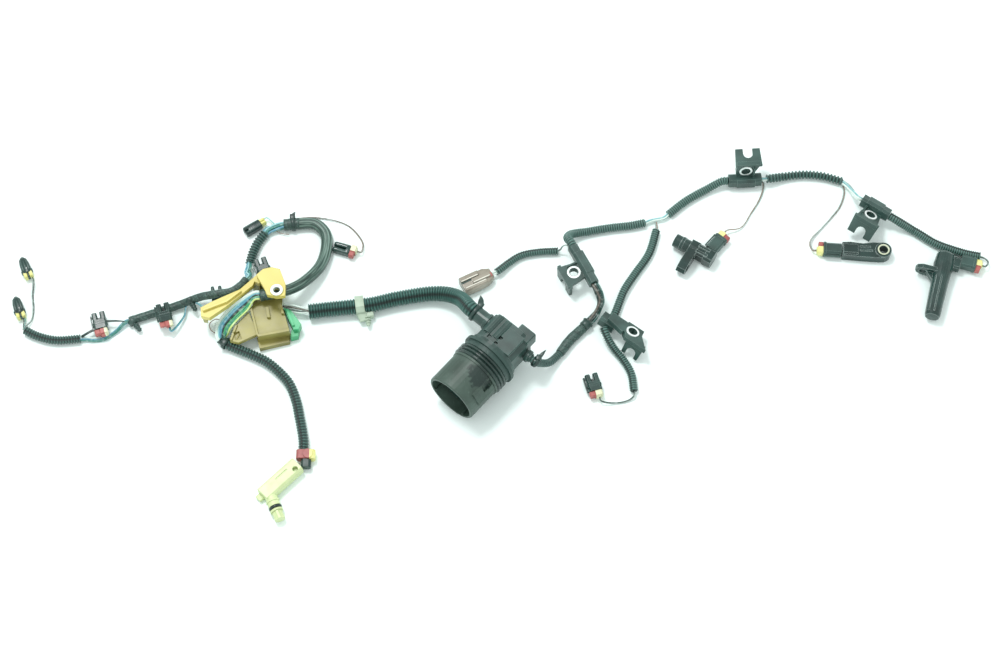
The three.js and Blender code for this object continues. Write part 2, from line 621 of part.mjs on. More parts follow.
// Clips
const BOX = { x: -25, y: 3, z: -9.4, length: 16, width: 14, height: 10.6 }; // branch box of the second clip
const clips = {
  first: { channelLength: 44, channelShift: -3, channelOffset: 11.8, channelWidth: 9.4, channelMiddle: -1.2 },
  second: {
    channelOffset: 13.6,
    forkShift: 9,
    forkWidth: 19,
    arm: [[-26, 8], [-26, -3], [-8, -8], [-4, 8]],
    extra: [bar(BOX.length, BOX.width, BOX.height, 2, BOX.x - BOX.length / 2, BOX.y, BOX.z)],
  },
  third: {
    channelLength: 32, channelShift: 0, channelOffset: 13.6, channelWidth: 11, channelMiddle: 1.4,
    bend: 80, forkStart: 8.4, forkShift: -2.6,
  },
  fourth: {
    channelLength: 30, channelShift: 0, channelOffset: 13.6, channelWidth: 11, channelMiddle: 1.6, bend: 80,
  },
};
for (const name of Object.keys(clips)) clip(name);

// Sensors on the right and the sockets of their leads
piece('sensor_short', seat(shortSensor(), places.sensor_short), 'black');
piece('sensor_flat', seat(flatSensor(), places.sensor_flat), 'black');
piece('sensor_long', seat(longSensor(), places.sensor_long), 'black');
for (const [name, length] of [['short', 17], ['flat', 17], ['long', 14]]) {
  piece(`sensor_plug_${name}`, seat(sensorPlug(length), places[`socket_${name}`]), 'black');
  piece(`sensor_lock_${name}`, seat(plugCap(), places[`socket_${name}`]), 'yellow');
}

// Cream sensor and its plug
piece('sensor_cream', seat(creamSensor(), places.sensor_cream), 'cream');
const creamLock = join(
  bar(8.6, 17.4, 10, 2, GAP, 0, 5.4), bar(9, 9, 8, 2, 8, 0.4, 5.4), rod(4.6, 1.4, 4.6, 2, 10, 'z', 12),
);
piece('sensor_lock_cream', seat(creamLock, places.lock_cream), 'red');

// Tan wire guide with the green lock beside it, and the clamp
piece('wire_guide', wireGuide(), 'tan');
piece('guide_lock', greenLock(), 'green');
tubeClamp(places.tube_clamp);

// Corrugated tubes, taped runs and the braided sleeve, from the left to the right
const farLeft = [
  [-450, -5.4, 4.5], [-442.6, -9.6, 4.5], [-434.3, -12.7, 4.5], [-426, -14.9, 4.5],
  [-418.4, -15.7, 4.5], [-410.8, -15.4, 4.5], [-397.3, -14, 4.5],
];
const trunk = [
  [-352.3, 4.8, 4.2], [-338.7, 9.5, 4.2], [-323.9, 14.8, 4.2], [-307, 20.7, 5], [-295.3, 24.1, 8],
  [-284.9, 26.4, 12], [-268, 27.9, 15.9], [-256, 30.2, 15.6], [-247.5, 36.4, 15.2], [-242.4, 43.6, 14],
];
const upperLeft = [[-240.6, 65.6, 5], [-238.3, 77.5, 4.6], [-233.6, 89.4, 4.6], [-227.6, 98.2, 4.6]];
const sleeve = [
  [-209.7, 106.9, 6], [-195.1, 108.4, 5.8], [-179.6, 108, 5.8], [-169.4, 98, 5.8], [-167.4, 84, 6],
  [-172.3, 62, 8], [-187.2, 40.6, 15], [-200, 30, 20.4], [-214, 25.4, 22.6], [-227, 22.4, 23],
];
const creamBranch = [
  [-263.5, -15.4, 5.2], [-256, -21.4, 5.2], [-245, -26.4, 5.2], [-233, -31.6, 5.2], [-221, -37.6, 5.2],
  [-208.8, -47.6, 5.2], [-197.8, -60.4, 5.2], [-190.6, -77.4, 5.2], [-186.4, -95, 5.2],
  [-183.2, -110, 5.2], at(places.lock_cream, [-8, -2.6, 5.4]), at(places.lock_cream, [0, -2.6, 5.4]),
];
const mainTube = [
  [-181.6, 12.4, 8.4], [-166.6, 14.4, 8.4],
  at(places.tube_clamp, [-12, 0, 0]), at(places.tube_clamp, [12, 0, 0]),
  [-98, 26, 8.6], [-66, 31, 9.4], [-50, 28.6, 12.6], [-38, 21.5, 18],
];
const neckFace = (distance) => (
  at(places.round_plug, [NECK_LINE, -SHELL_WIDTH / 2 - NECK_LENGTH - distance, NECK_RISE])
);
const outletFace = (distance) => (
  at(places.round_plug, [NECK_LINE, SHELL_WIDTH / 2 + OUTLET_LENGTH + distance, -NECK_RISE])
);
const boxFace = (side, distance) => (
  at(places.clip_second, [BOX.x, BOX.y + side * (BOX.width / 2 + distance), BOX.z])
);
const lowerRight = [
  boxFace(-1, 3.4), [99.4, -12, 13.6], [103.6, -19.6, 9.4], [109, -26.4, 5], [115.5, -34.8, 4],
  [123.1, -49.3, 4], [125.5, -67.8, 4],
];
const upperRight = [
  [164.3, 119.6, 4], [181.8, 134.5, 4], [201.7, 146.8, 4.4],
  channelEnd('third', 1, 6), channelEnd('third', 1),
];
const routes = {
  tube_far_left: ['conduit', WIDE_RADIUS, farLeft],
  tube_upper_left: ['conduit', WIDE_RADIUS, upperLeft],
  sleeve_loop: ['braid', 5.4, sleeve],
  tube_cream_branch: ['conduit', 4.8, creamBranch],
  tube_main: ['conduit', MAIN_RADIUS, [...mainTube, neckFace(9), neckFace(GAP)]],
  taped_trunk: ['tape', 3.9, trunk],
  tube_brown_branch: ['conduit', 3.4, [
    at(places.brown, [GAP, 0, 6.4]), at(places.brown, [-5, 0, 6.4]), [8.6, 66.6, 4.4], [20, 74.6, 3.8],
    [36.4, 78.4, 3.8], [56, 79.6, 3.8],
  ]],
  tube_outlet: ['tape', 4, [
    outletFace(GAP), outletFace(5), [38.4, -45, 17], [46.1, -41, 9.6], [54.7, -31.6, 5.4],
    [66.2, -15.6, 4.4], [75.9, -5.7, 4.4], [85.5, 4.3, 4.6], [92.6, 13, 7], [96, 22, 12.4],
    channelEnd('first', 1, 7), channelEnd('first', 1),
  ]],
  tube_upper_right_a: ['conduit', BRANCH_RADIUS, [
    channelEnd('first', -1, GAP, 1.2), channelEnd('first', -1, 5, 1.2), [65, 88, 14.6], [68, 94.4, 9.6],
    [75.4, 98.2, 6], [84.6, 100.4, 4.4], [94.1, 102.4, 4], [109.7, 105, 4], [126.3, 107, 4], [141, 110.2, 4],
  ]],
  tube_drop_branch: ['conduit', BRANCH_RADIUS, [
    [151.7, 101.7, 4], [143.9, 76.6, 4], [129.3, 53.9, 4.4], [118.5, 35.9, 5], boxFace(1, 7), boxFace(1, GAP),
  ]],
  tube_lower_right: ['conduit', BRANCH_RADIUS, lowerRight],
  tube_upper_right_b: ['conduit', BRANCH_RADIUS, upperRight],
  tube_upper_right_c: ['conduit', WIDE_RADIUS, [
    channelEnd('third', -1), channelEnd('third', -1, 6), [279.2, 161.4, 4.6], [297.9, 163.6, 4.6],
    [316.5, 162, 4.6], [336.1, 156, 4.6],
  ]],
  tube_far_right: ['conduit', BRANCH_RADIUS, [
    channelEnd('fourth', 1), channelEnd('fourth', 1, 6), [399.9, 102.4, 4.6], [421, 87.7, 4],
    [440.4, 79.5, 4], [452, 75.8, 4], [463, 73.4, 4],
  ]],
};

// Bare wires between the tubes, laid together with the tube they leave.
const strands = {
  taped_trunk: [
    [LEAD_RADIUS, [wireExit('left_second'), wireExit('left_second', 4), [-300.5, 10, 4], [-299.6, 18, 5],
      [-295.5, 24, 8]]],
    [LEAD_RADIUS, [wireExit('left_third'), wireExit('left_third', 4), [-278, 16, 6], [-287, 20.5, 9],
      [-294, 24, 9]]],
  ],
  tube_upper_left: [[3, [
    [-240.2, 68, 5], [-241, 60, 6], [-242, 53, 9], beyond(trunk, 5), beyond(trunk),
  ]]],
  sleeve_loop: [
    [3.4, [beyond(upperLeft), beyond(upperLeft, 4), [-217, 105, 5], [-206, 107, 6]]],
    [LEAD_RADIUS, [wireExit('upper_left'), wireExit('upper_left', 3), [-216, 106, 5]]],
  ],
  tube_brown_branch: [[0.8, [
    [54, 79.6, 3.8], [57.6, 79.4, 6], [60.6, 80.6, 12], channelEnd('first', -1, 4, -3.6),
    channelEnd('first', -1, GAP, -3.6),
  ]]],
  tube_main: [
    [LEAD_RADIUS, [[-206.3, 18.4, 9.4], [-197, 17.6, 9.4], [-187, 14.6, 9], [-180, 12.6, 8.4]]],
    [LEAD_RADIUS, [[-206, 16.4, 5.6], [-197, 14.4, 6], [-187, 12, 7.4], [-180, 12.6, 8.4]]],
  ],
  tube_far_right: [[LEAD_RADIUS, [
    [461, 73.6, 4], [467, 72, 4], [470.4, 67, 5], wireExit('socket_long', 3.4), wireExit('socket_long'),
  ]]],
  tube_upper_right_a: [[2, [
    [138, 109, 4], [147, 113.4, 3.4], before(upperRight, 6), before(upperRight),
  ]]],
  tube_upper_right_c: [[2.4, [
    [334, 157.4, 4.6], [340, 152, 4.6], [344, 144, 7], channelEnd('fourth', -1, 5), channelEnd('fourth', -1),
  ]]],
  tube_drop_branch: [[1.6, [[151, 100, 4], [152, 105, 3.4], [151.5, 111.4, 3.4]]]],
  tube_far_left: [[1.6, [
    [-399, -14, 3.6], [-392, -13.4, 2.2], [-384, -14.2, 1.9], [-374, -12.6, 1.9], [-365, -5.6, 2.2],
    before(trunk, 4), before(trunk),
  ]]],
};
for (const [name, [finish, radius, points]] of Object.entries(routes)) {
  const shapes = [cord(points, radius)];
  for (const [width, route] of strands[name] ?? []) shapes.push(cord(route, width));
  if (name === 'taped_trunk') shapes.push(stud(places.stud_first), stud(places.stud_second));
  piece(name, shapes.length > 1 ? join(...shapes) : shapes[0], finish);
}

// Leads that run apart from the tubes
const leads = {
  wires_far_left: [
    [1.1, [wireExit('far_left_upper'), wireExit('far_left_upper', 5), [-447.6, 32, 1.6], [-445.4, 18, 1.6],
      [-446, 6, 2.4], before(farLeft, 3), before(farLeft)]],
    [1.1, [wireExit('far_left_lower'), wireExit('far_left_lower', 3), [-452, 0.6, 4.4],
      before(farLeft, 2)]],
  ],
  wires_loose: [[0.9, [
    [-204, 113.3, 5], [-195, 116, 2.6], [-182, 117.6, 1.4], [-164, 115, 1.4], [-148, 108.6, 1.4],
    [-138.6, 99, 1.4], [-132.6, 88, 2], wireExit('loose', 4), wireExit('loose'),
  ]]],
  wires_fan: [
    [3.2, [beyond(sleeve), beyond(sleeve, 4), [-240, 16, 19.4], [-252, 8, 19], [-262, -2, 12],
      before(creamBranch, 4), before(creamBranch)]],
    [1.6, [beyond(sleeve, 2), [-240, 20, 20], [-256, 11.6, 12], [-268, 2, 3], [-268, -8, 3],
      before(creamBranch, 3)]],
  ],
  wires_lower_right: [[LEAD_RADIUS, [
    beyond(lowerRight), beyond(lowerRight, 4), [121.6, -76, 1.8], [109, -79, 1.4],
    wireExit('lower_right', 4), wireExit('lower_right'),
  ]]],
  wires_short: [[LEAD_RADIUS, [
    channelEnd('third', -1, GAP, 5), channelEnd('third', -1, 2.4, 5.4), [258.6, 150, 1.4],
    [254.4, 138, 1.4], [245, 122, 1.4], [234, 106, 2], wireExit('socket_short', 4), wireExit('socket_short'),
  ]]],
  wires_flat: [[LEAD_RADIUS, [
    [336.4, 152.4, 2], [337.6, 146, 1.4], [332.4, 130.3, 1.4], [322.7, 117, 1.4], [311, 103.8, 1.4],
    [302.4, 94, 2.6], [299.9, 86.4, 4.6], wireExit('socket_flat', 3.6), wireExit('socket_flat'),
  ]]],
};
for (const [name, runs] of Object.entries(leads)) {
  const shapes = runs.map(([width, route]) => cord(route, width));
  piece(name, shapes.length > 1 ? join(...shapes) : shapes[0], 'wire');
}

export default harness;
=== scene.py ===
"""Looks of the gearbox wiring harness: corrugated tubes, bare wires, tape, plugs, clips and sensors."""
import math

import bpy
import numpy as np
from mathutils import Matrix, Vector


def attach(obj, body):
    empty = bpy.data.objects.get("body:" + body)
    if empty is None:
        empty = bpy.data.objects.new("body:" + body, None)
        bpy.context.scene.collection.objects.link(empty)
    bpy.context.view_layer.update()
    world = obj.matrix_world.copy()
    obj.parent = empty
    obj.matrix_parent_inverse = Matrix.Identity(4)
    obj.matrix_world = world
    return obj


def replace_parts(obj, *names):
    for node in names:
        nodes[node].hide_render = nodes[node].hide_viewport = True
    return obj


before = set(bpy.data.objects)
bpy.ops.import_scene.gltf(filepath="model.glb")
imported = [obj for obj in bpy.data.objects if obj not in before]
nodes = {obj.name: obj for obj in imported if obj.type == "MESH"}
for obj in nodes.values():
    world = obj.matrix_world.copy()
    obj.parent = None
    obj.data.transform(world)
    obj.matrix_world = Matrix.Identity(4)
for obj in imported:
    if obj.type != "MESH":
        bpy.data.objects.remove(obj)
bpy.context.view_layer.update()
MM = 0.001

# Cord routes, in millimetres in the row frame
ROUTES = {
    "tube_far_left": [(-450.7, 4.4, 4.5), (-443.3, 0.2, 4.5), (-435, -2.9, 4.5), (-426.7, -5.1, 4.5),
        (-419.1, -5.9, 4.5), (-411.5, -5.6, 4.5), (-398, -4.2, 4.5)],
    "tube_far_left_bare_1": [(-399.7, -4.2, 3.6), (-392.7, -3.6, 2.2), (-384.7, -4.4, 1.9), (-374.7, -2.8, 1.9),
        (-365.7, 4.2, 2.2), (-356.8, 13.2, 4.2), (-353.3, 14.5, 4.2)],
    "tube_upper_left": [(-241.3, 75.4, 5), (-239, 87.3, 4.6), (-234.3, 99.2, 4.6), (-228.3, 108, 4.6)],
    "tube_upper_left_bare_1": [(-240.9, 77.8, 5), (-241.7, 69.8, 6), (-242.7, 62.8, 9), (-240.2, 57.4, 13.4),
        (-242.9, 53.6, 14)],
    "sleeve_loop": [(-210.4, 116.7, 6), (-195.8, 118.2, 5.8), (-180.3, 117.8, 5.8), (-170.1, 107.8, 5.8),
        (-168.1, 93.8, 6), (-173, 71.8, 8), (-187.9, 50.4, 15), (-200.7, 39.8, 20.4), (-214.7, 35.2, 22.6),
        (-227.7, 32.2, 23)],
    "sleeve_loop_bare_1": [(-228.1, 108.2, 4.6), (-226, 111.3, 4.6), (-217.7, 114.8, 5), (-206.7, 116.8, 6)],
    "sleeve_loop_bare_2": [(-230, 124, 5.2), (-227.8, 125.6, 5.2), (-216.7, 115.8, 5)],
    "tube_cream_branch": [(-264.2, -5.6, 5.2), (-256.7, -11.6, 5.2), (-245.7, -16.6, 5.2), (-233.7, -21.8, 5.2),
        (-221.7, -27.8, 5.2), (-209.5, -37.8, 5.2), (-198.5, -50.6, 5.2), (-191.3, -67.6, 5.2),
        (-187.1, -85.2, 5.2), (-183.9, -100.2, 5.2), (-182.3, -110.6, 5.4), (-182.3, -118.6, 5.4)],
    "tube_main": [(-182.3, 22.2, 8.4), (-167.3, 24.2, 8.4), (-146, 26.6, 8.6), (-122.2, 29.9, 8.6),
        (-98.7, 35.8, 8.6), (-66.7, 40.8, 9.4), (-50.7, 38.4, 12.6), (-38.7, 31.3, 18), (-27.9, 14.3, 30.6),
        (-21.4, 8.6, 30.6)],
    "tube_main_bare_1": [(-207, 28.2, 9.4), (-197.7, 27.4, 9.4), (-187.7, 24.4, 9), (-180.7, 22.4, 8.4)],
    "tube_main_bare_2": [(-206.7, 26.2, 5.6), (-197.7, 24.2, 6), (-187.7, 21.8, 7.4), (-180.7, 22.4, 8.4)],
    "taped_trunk": [(-353, 14.6, 4.2), (-339.4, 19.3, 4.2), (-324.6, 24.6, 4.2), (-307.7, 30.5, 5), (-296, 33.9, 8),
        (-285.6, 36.2, 12), (-268.7, 37.7, 15.9), (-256.7, 40, 15.6), (-248.2, 46.2, 15.2), (-243.1, 53.4, 14)],
    "taped_trunk_bare_1": [(-313.3, 5, 9.6), (-312.3, 1.6, 8.6), (-301.2, 19.8, 4), (-300.3, 27.8, 5),
        (-296.2, 33.8, 8)],
    "taped_trunk_bare_2": [(-268.6, 34.1, 5.2), (-268.1, 30.4, 5.2), (-278.7, 25.8, 6), (-287.7, 30.3, 9),
        (-294.7, 33.8, 9)],
    "tube_brown_branch": [(-8.4, 63.4, 6.4), (-3.6, 65.8, 6.4), (7.9, 76.4, 4.4), (19.3, 84.4, 3.8),
        (35.7, 88.2, 3.8), (55.3, 89.4, 3.8)],
    "tube_brown_branch_bare_1": [(53.3, 89.4, 3.8), (56.9, 89.2, 6), (59.9, 90.4, 12), (63.9, 88.1, 18),
        (65.5, 84.8, 18)],
    "tube_outlet": [(28.4, -34.9, 26.6), (32, -38, 26.6), (37.7, -35.2, 17), (45.4, -31.2, 9.6), (54, -21.8, 5.4),
        (65.5, -5.8, 4.4), (75.2, 4.1, 4.4), (84.8, 14.1, 4.6), (91.9, 22.8, 7), (95.3, 31.8, 12.4), (92, 40.8, 18),
        (89, 46.7, 18)],
    "tube_upper_right_a": [(69.8, 87, 18), (67.7, 91.2, 18), (64.3, 97.8, 14.6), (67.3, 104.2, 9.6), (74.7, 108, 6),
        (83.9, 110.2, 4.4), (93.4, 112.2, 4), (109, 114.8, 4), (125.6, 116.8, 4), (140.3, 120, 4)],
    "tube_upper_right_a_bare_1": [(137.3, 118.8, 4), (146.3, 123.2, 3.4), (159, 125.5, 4), (163.4, 129.2, 4)],
    "tube_drop_branch": [(151, 111.5, 4), (143.2, 86.4, 4), (128.6, 63.7, 4.4), (117.8, 45.7, 5),
        (108.4, 21.2, 3.5), (105.3, 16.1, 6.5)],
    "tube_drop_branch_bare_1": [(150.3, 109.8, 4), (151.3, 114.8, 3.4), (150.8, 121.2, 3.4)],
    "tube_lower_right": [(97.2, 2.5, 14.4), (98.7, -2.2, 13.6), (102.9, -9.8, 9.4), (108.3, -16.6, 5),
        (114.8, -25, 4), (122.4, -39.5, 4), (124.8, -58, 4)],
    "tube_upper_right_b": [(163.6, 129.4, 4), (181.1, 144.3, 4), (201, 156.6, 4.4), (217.1, 164.1, 8),
        (222.8, 164.4, 8)],
    "tube_upper_right_c": [(255.4, 166.4, 8), (261, 166.7, 8), (278.5, 171.2, 4.6), (297.2, 173.4, 4.6),
        (315.8, 171.8, 4.6), (335.4, 165.8, 4.6)],
    "tube_upper_right_c_bare_1": [(333.3, 167.2, 4.6), (339.3, 161.8, 4.6), (343.3, 153.8, 7), (346.7, 141.8, 16),
        (350.7, 139.2, 15.6)],
    "tube_far_right": [(376.4, 122.9, 13.2), (381.2, 119.8, 12.7), (399.2, 112.2, 4.6), (420.3, 97.5, 4),
        (439.7, 89.3, 4), (451.3, 85.6, 4), (462.3, 83.2, 4)],
    "tube_far_right_bare_1": [(460.3, 83.4, 4), (466.3, 81.8, 4), (469.7, 76.8, 5), (466, 71.2, 6.6),
        (463, 72, 6.6)],
    "wires_far_left_1": [(-450, 60.1, 5.2), (-448.1, 55.8, 5.2), (-448.3, 41.8, 1.6), (-446.1, 27.8, 1.6),
        (-446.7, 15.8, 2.4), (-453.3, 5.8, 4.5), (-451, 4.5, 4.5)],
    "wires_far_left_2": [(-453.4, 17.2, 5.2), (-452.5, 14.7, 5.2), (-452.7, 10.4, 4.4), (-452.4, 5.3, 4.5)],
    "wires_loose_1": [(-204.7, 123.1, 5), (-195.7, 125.8, 2.6), (-182.7, 127.4, 1.4), (-164.7, 124.8, 1.4),
        (-148.7, 118.4, 1.4), (-139.3, 108.8, 1.4), (-133.3, 97.8, 2), (-134.9, 87.2, 5.2), (-138.4, 88.4, 5.2)],
    "wires_lower_right_1": [(124.9, -58.3, 4), (125.3, -62, 4), (120.9, -66.2, 1.8), (108.3, -69.2, 1.4),
        (93.5, -68.6, 5.2), (92.4, -65.1, 5.2)],
    "wires_short_1": [(255.4, 165.9, 3.1), (257.5, 166, 2.7), (257.9, 159.8, 1.4), (253.7, 147.8, 1.4),
        (244.3, 131.8, 1.4), (233.3, 115.8, 2), (219.1, 111.2, 5.2), (216.7, 108.3, 5.2)],
    "wires_flat_1": [(335.7, 162.2, 2), (336.9, 155.8, 1.4), (331.7, 140.1, 1.4), (322, 126.8, 1.4),
        (310.3, 113.6, 1.4), (301.7, 103.8, 2.6), (299.2, 96.2, 4.6), (301.6, 89.6, 5.2), (304.9, 89.4, 5.2)],
}

def flat(spot, right, ahead):
    """A seat whose X lies level and points right and ahead on the table, its Y a quarter turn on."""
    return spot, (right, ahead, 0), (-ahead, right, 0)


# Seats of the pieces: spot, the way X points, the way Y points
PLACES = {
    "far_left_upper": flat((-451.6, 59.8, 0), -0.4067, 0.9135),
    "far_left_lower": flat((-455, 17, 0), -0.342, 0.9397),
    "left_first": flat((-376.1, -2.6, 2.7), -0.2756, 0.9613),
    "left_second": ((-315.3, 6.2, 4.6), (-0.2662, 0.9285, 0.2589), (-0.9613, -0.2755, -0.0004)),
    "left_third": flat((-270.2, 34.2, 0), -0.1219, 0.9925),
    "upper_left": flat((-229.3, 122.6, 0), -0.8192, -0.5736),
    "loose": flat((-139.2, 87, 0), -0.9511, 0.309),
    "lower_right": flat((90.8, -65.2, 0), -0.2756, 0.9613),
    "brown": flat((-8.1, 63.6, 0), -0.891, -0.454),
    "round_plug": flat((-11.9, -37.2, 28.6), -0.658, -0.753),
    "clip_first": flat((69.7, 58.6, 19.2), 0.454, -0.891),
    "clip_second": ((124.3, -2.7, 16.6), (0.8238, -0.5556, -0.1124), (0.4576, 0.7688, -0.4467)),
    "clip_third": ((238.9, 168.2, 21.4), (-0.9982, -0.0605, 0), (0.006, -0.1001, -0.995)),
    "clip_fourth": ((357.1, 120.2, 19.6), (0.8415, -0.5344, -0.0792), (0.4353, 0.7575, -0.4866)),
    "sensor_flat": flat((329.3, 89.2, 0), 0.9986, -0.0523),
    "socket_short": flat((217.7, 107.1, 0), -0.6428, -0.766),
    "socket_flat": flat((305.3, 91, 0), 0.9976, -0.0698),
    "socket_long": flat((462.3, 70.6, 1.4), -0.9613, 0.2756),
    "sensor_cream": flat((-186.7, -133.2, 0), -0.7071, -0.7071),
    "lock_cream": flat((-179.7, -118.6, 0), 0, -1),
    "stud_first": flat((-350.6, 14.6, 4.7), 0.6428, -0.766),
    "stud_second": flat((-296.7, 35.2, 9), 0.5, -0.866),
}


def placed(name, data):
    made = bpy.data.objects.new(name, data)
    bpy.context.scene.collection.objects.link(made)
    return made


# Camera
CAMERA_DISTANCE = 1.98
CAMERA_ELEVATION = math.radians(65)
AIM = Vector((-0.69, 3.26, 0.02)) * MM
camera = placed("camera", bpy.data.cameras.new("camera"))
camera.data.lens = 75
camera.data.sensor_width = 36
camera.data.clip_end = 20
camera.location = AIM + CAMERA_DISTANCE * Vector((0, -math.cos(CAMERA_ELEVATION), math.sin(CAMERA_ELEVATION)))
camera.rotation_euler = (math.pi / 2 - CAMERA_ELEVATION, 0, 0)
bpy.context.scene.camera = camera
bpy.context.scene.view_settings.view_transform = "Standard"


# Materials
def srgb(red, green, blue):
    """Colour as a screen shows it, 0 to 255, turned to linear light."""
    return tuple(((c / 255 + 0.055) / 1.055) ** 2.4 if c > 10 else c / 3294.6 for c in (red, green, blue)) + (1,)


# The last radius rounds the normal that finds the pale edges, partly wear and partly painted highlight
MOULD_GRAIN, MOULD_EDGE, EDGE_WEAR_AND_GLINT_RADIUS = 0.00006, 0.0005, 0.0007


class Look:
    """A material with its Principled shader, and short ways to add nodes to it."""

    def __init__(self, name):
        self.material = bpy.data.materials.new(name)
        self.material.use_nodes = True
        self.tree = self.material.node_tree
        self.shader = self.tree.nodes["Principled BSDF"]
        self.coordinates = self.node("TexCoord").outputs

    def node(self, kind, inputs=(), **settings):
        made = self.tree.nodes.new("ShaderNode" + kind)
        for key, value in settings.items():
            setattr(made, key, value)
        for key, value in dict(inputs).items():
            made.inputs[key].default_value = value
        return made

    def link(self, source, target):
        self.tree.links.new(source, target)

    def noise(self, scale, detail=3.0, coordinates="Object", stretch=None):
        made = self.node("TexNoise", {"Scale": scale, "Detail": detail})
        source = self.coordinates[coordinates]
        if stretch:
            mapping = self.node("Mapping", {"Scale": stretch})
            self.link(source, mapping.inputs["Vector"])
            source = mapping.outputs["Vector"]
        self.link(source, made.inputs["Vector"])
        return made.outputs["Fac"]

    def ramp(self, factor, stops):
        made = self.node("ValToRGB")
        while len(made.color_ramp.elements) < len(stops):
            made.color_ramp.elements.new(0.5)
        for element, (position, colour) in zip(made.color_ramp.elements, stops):
            element.position = position
            element.color = colour
        self.link(factor, made.inputs["Fac"])
        return made.outputs["Color"]

    def tones(self, scale, detail, dark, light, low=0.3, high=0.7):
        """Soft patches: dark where the noise is under low, light where it is over high."""
        return self.ramp(self.noise(scale, detail), [(low, dark), (high, light)])

    def share(self, factor, none, full, amount):
        """How much of a second tone to mix in: nothing where the factor is at none, amount at full."""
        return self.ramp(factor, sorted([(none, (0, 0, 0, 1)), (full, (amount, amount, amount, 1))]))

    def mix(self, factor, first, second):
        made = self.node("Mix", data_type="RGBA")
        self.link(factor, made.inputs["Factor"])
        for socket, value in ((made.inputs[6], first), (made.inputs[7], second)):
            if isinstance(value, tuple):
                socket.default_value = value
            else:
                self.link(value, socket)
        return made.outputs[2]

    def maths(self, operation, *values):
        made = self.node("Math", operation=operation)
        for socket, value in zip(made.inputs, values):
            if isinstance(value, (int, float)):
                socket.default_value = value
            else:
                self.link(value, socket)
        return made.outputs[0]

    def parts(self, coordinates):
        """The X, Y and Z of the point, in Object coordinates or the piece's UV."""
        made = self.node("SeparateXYZ")
        self.link(self.coordinates[coordinates], made.inputs["Vector"])
        return made.outputs

    def colour(self, source):
        self.link(source, self.shader.inputs["Base Color"])

    def roughness(self, factor, low, high):
        made = self.node("MapRange", {"To Min": low, "To Max": high})
        self.link(factor, made.inputs["Value"])
        self.link(made.outputs["Result"], self.shader.inputs["Roughness"])

    def relief(self, height, distance, strength=0.5, edge=0.0):
        bump = self.node("Bump", {"Distance": distance, "Strength": strength})
        self.link(height, bump.inputs["Height"])
        if edge:
            bevel = self.node("Bevel", {"Radius": edge}, samples=4)
            self.link(bevel.outputs["Normal"], bump.inputs["Normal"])
        self.link(bump.outputs["Normal"], self.shader.inputs["Normal"])

    def moulded_skin(self, rough, grain=MOULD_GRAIN, edge=MOULD_EDGE):
        """The dull patches and fine grain of a moulding, with its edges rounded; grain and edge in metres."""
        self.roughness(self.noise(160, 4), *rough)
        self.relief(self.noise(1500, 4), grain, 0.4, edge)

    def along(self, place, axis):
        """How far a point lies from a seated piece's spot along its X or Y, in millimetres."""
        spot, x, y = PLACES[place]
        shift = self.node("VectorMath", {1: Vector(spot) * MM}, operation="SUBTRACT")
        self.link(self.coordinates["Object"], shift.inputs[0])
        dot = self.node("VectorMath", {1: Vector(x if axis == "x" else y) / MM}, operation="DOT_PRODUCT")
        self.link(shift.outputs["Vector"], dot.inputs[0])
        return dot.outputs["Value"]


def moulded(name, dark, light, rough=(0.42, 0.6), grain=MOULD_GRAIN, edge=MOULD_EDGE, dust=None, edge_wear_and_glint=None):
    """Moulded plastic: two close tones in soft patches, a fine grain, and rounded edges. dust lies over it in
    clouds. The paler edge tone, partly edge wear and partly a painted highlight, lies where the rounded normal
    leans away from the face's own: the dot product of the two falls under 0.985 there."""
    look = Look(name)
    tone = look.tones(55, 4, dark, light, 0.3, 0.72)
    if dust:
        tone = look.mix(look.share(look.noise(26, 6), 0.45, 0.8, 0.45), tone, dust)
    if edge_wear_and_glint:
        # Pale edge tone: partly edge wear, partly a painted highlight along the rounded edges
        rounded = look.node("Bevel", {"Radius": EDGE_WEAR_AND_GLINT_RADIUS}, samples=4)
        lean = look.node("VectorMath", operation="DOT_PRODUCT")
        look.link(rounded.outputs["Normal"], lean.inputs[0])
        look.link(look.node("NewGeometry").outputs["Normal"], lean.inputs[1])
        tone = look.mix(look.share(lean.outputs["Value"], 0.985, 0.9, 0.55), tone, edge_wear_and_glint)
    look.colour(tone)
    look.moulded_skin(rough, grain, edge)
    return look.material


BLACKS = (srgb(30, 52, 47), srgb(54, 84, 78))
REDS = (srgb(146, 70, 68), srgb(176, 100, 94))
CREAMS = (srgb(196, 204, 164), srgb(226, 230, 198))
YELLOWS = (srgb(212, 212, 120), srgb(234, 234, 168))

# The pale edge tones given here are partly edge wear and partly painted highlight; on black_polyester the near-white
# edges are painted glints
black = moulded("black_nylon", *BLACKS, (0.24, 0.42), dust=srgb(76, 106, 98), edge_wear_and_glint=srgb(126, 156, 148))
black_gloss = moulded("black_polyester", srgb(12, 36, 32), srgb(32, 62, 57), (0.06, 0.32), dust=srgb(60, 94, 88),
                      edge_wear_and_glint=srgb(206, 228, 222))
plug_black = moulded("black_plug_nylon", srgb(14, 38, 34), srgb(34, 64, 58), (0.16, 0.36), dust=srgb(58, 90, 84),
                     edge_wear_and_glint=srgb(118, 148, 140))
green = moulded("green_nylon", srgb(46, 146, 94), srgb(84, 188, 134), (0.35, 0.5))
brown = moulded("brown_polyester", srgb(110, 106, 92), srgb(156, 152, 138), (0.16, 0.34), dust=srgb(186, 184, 168))
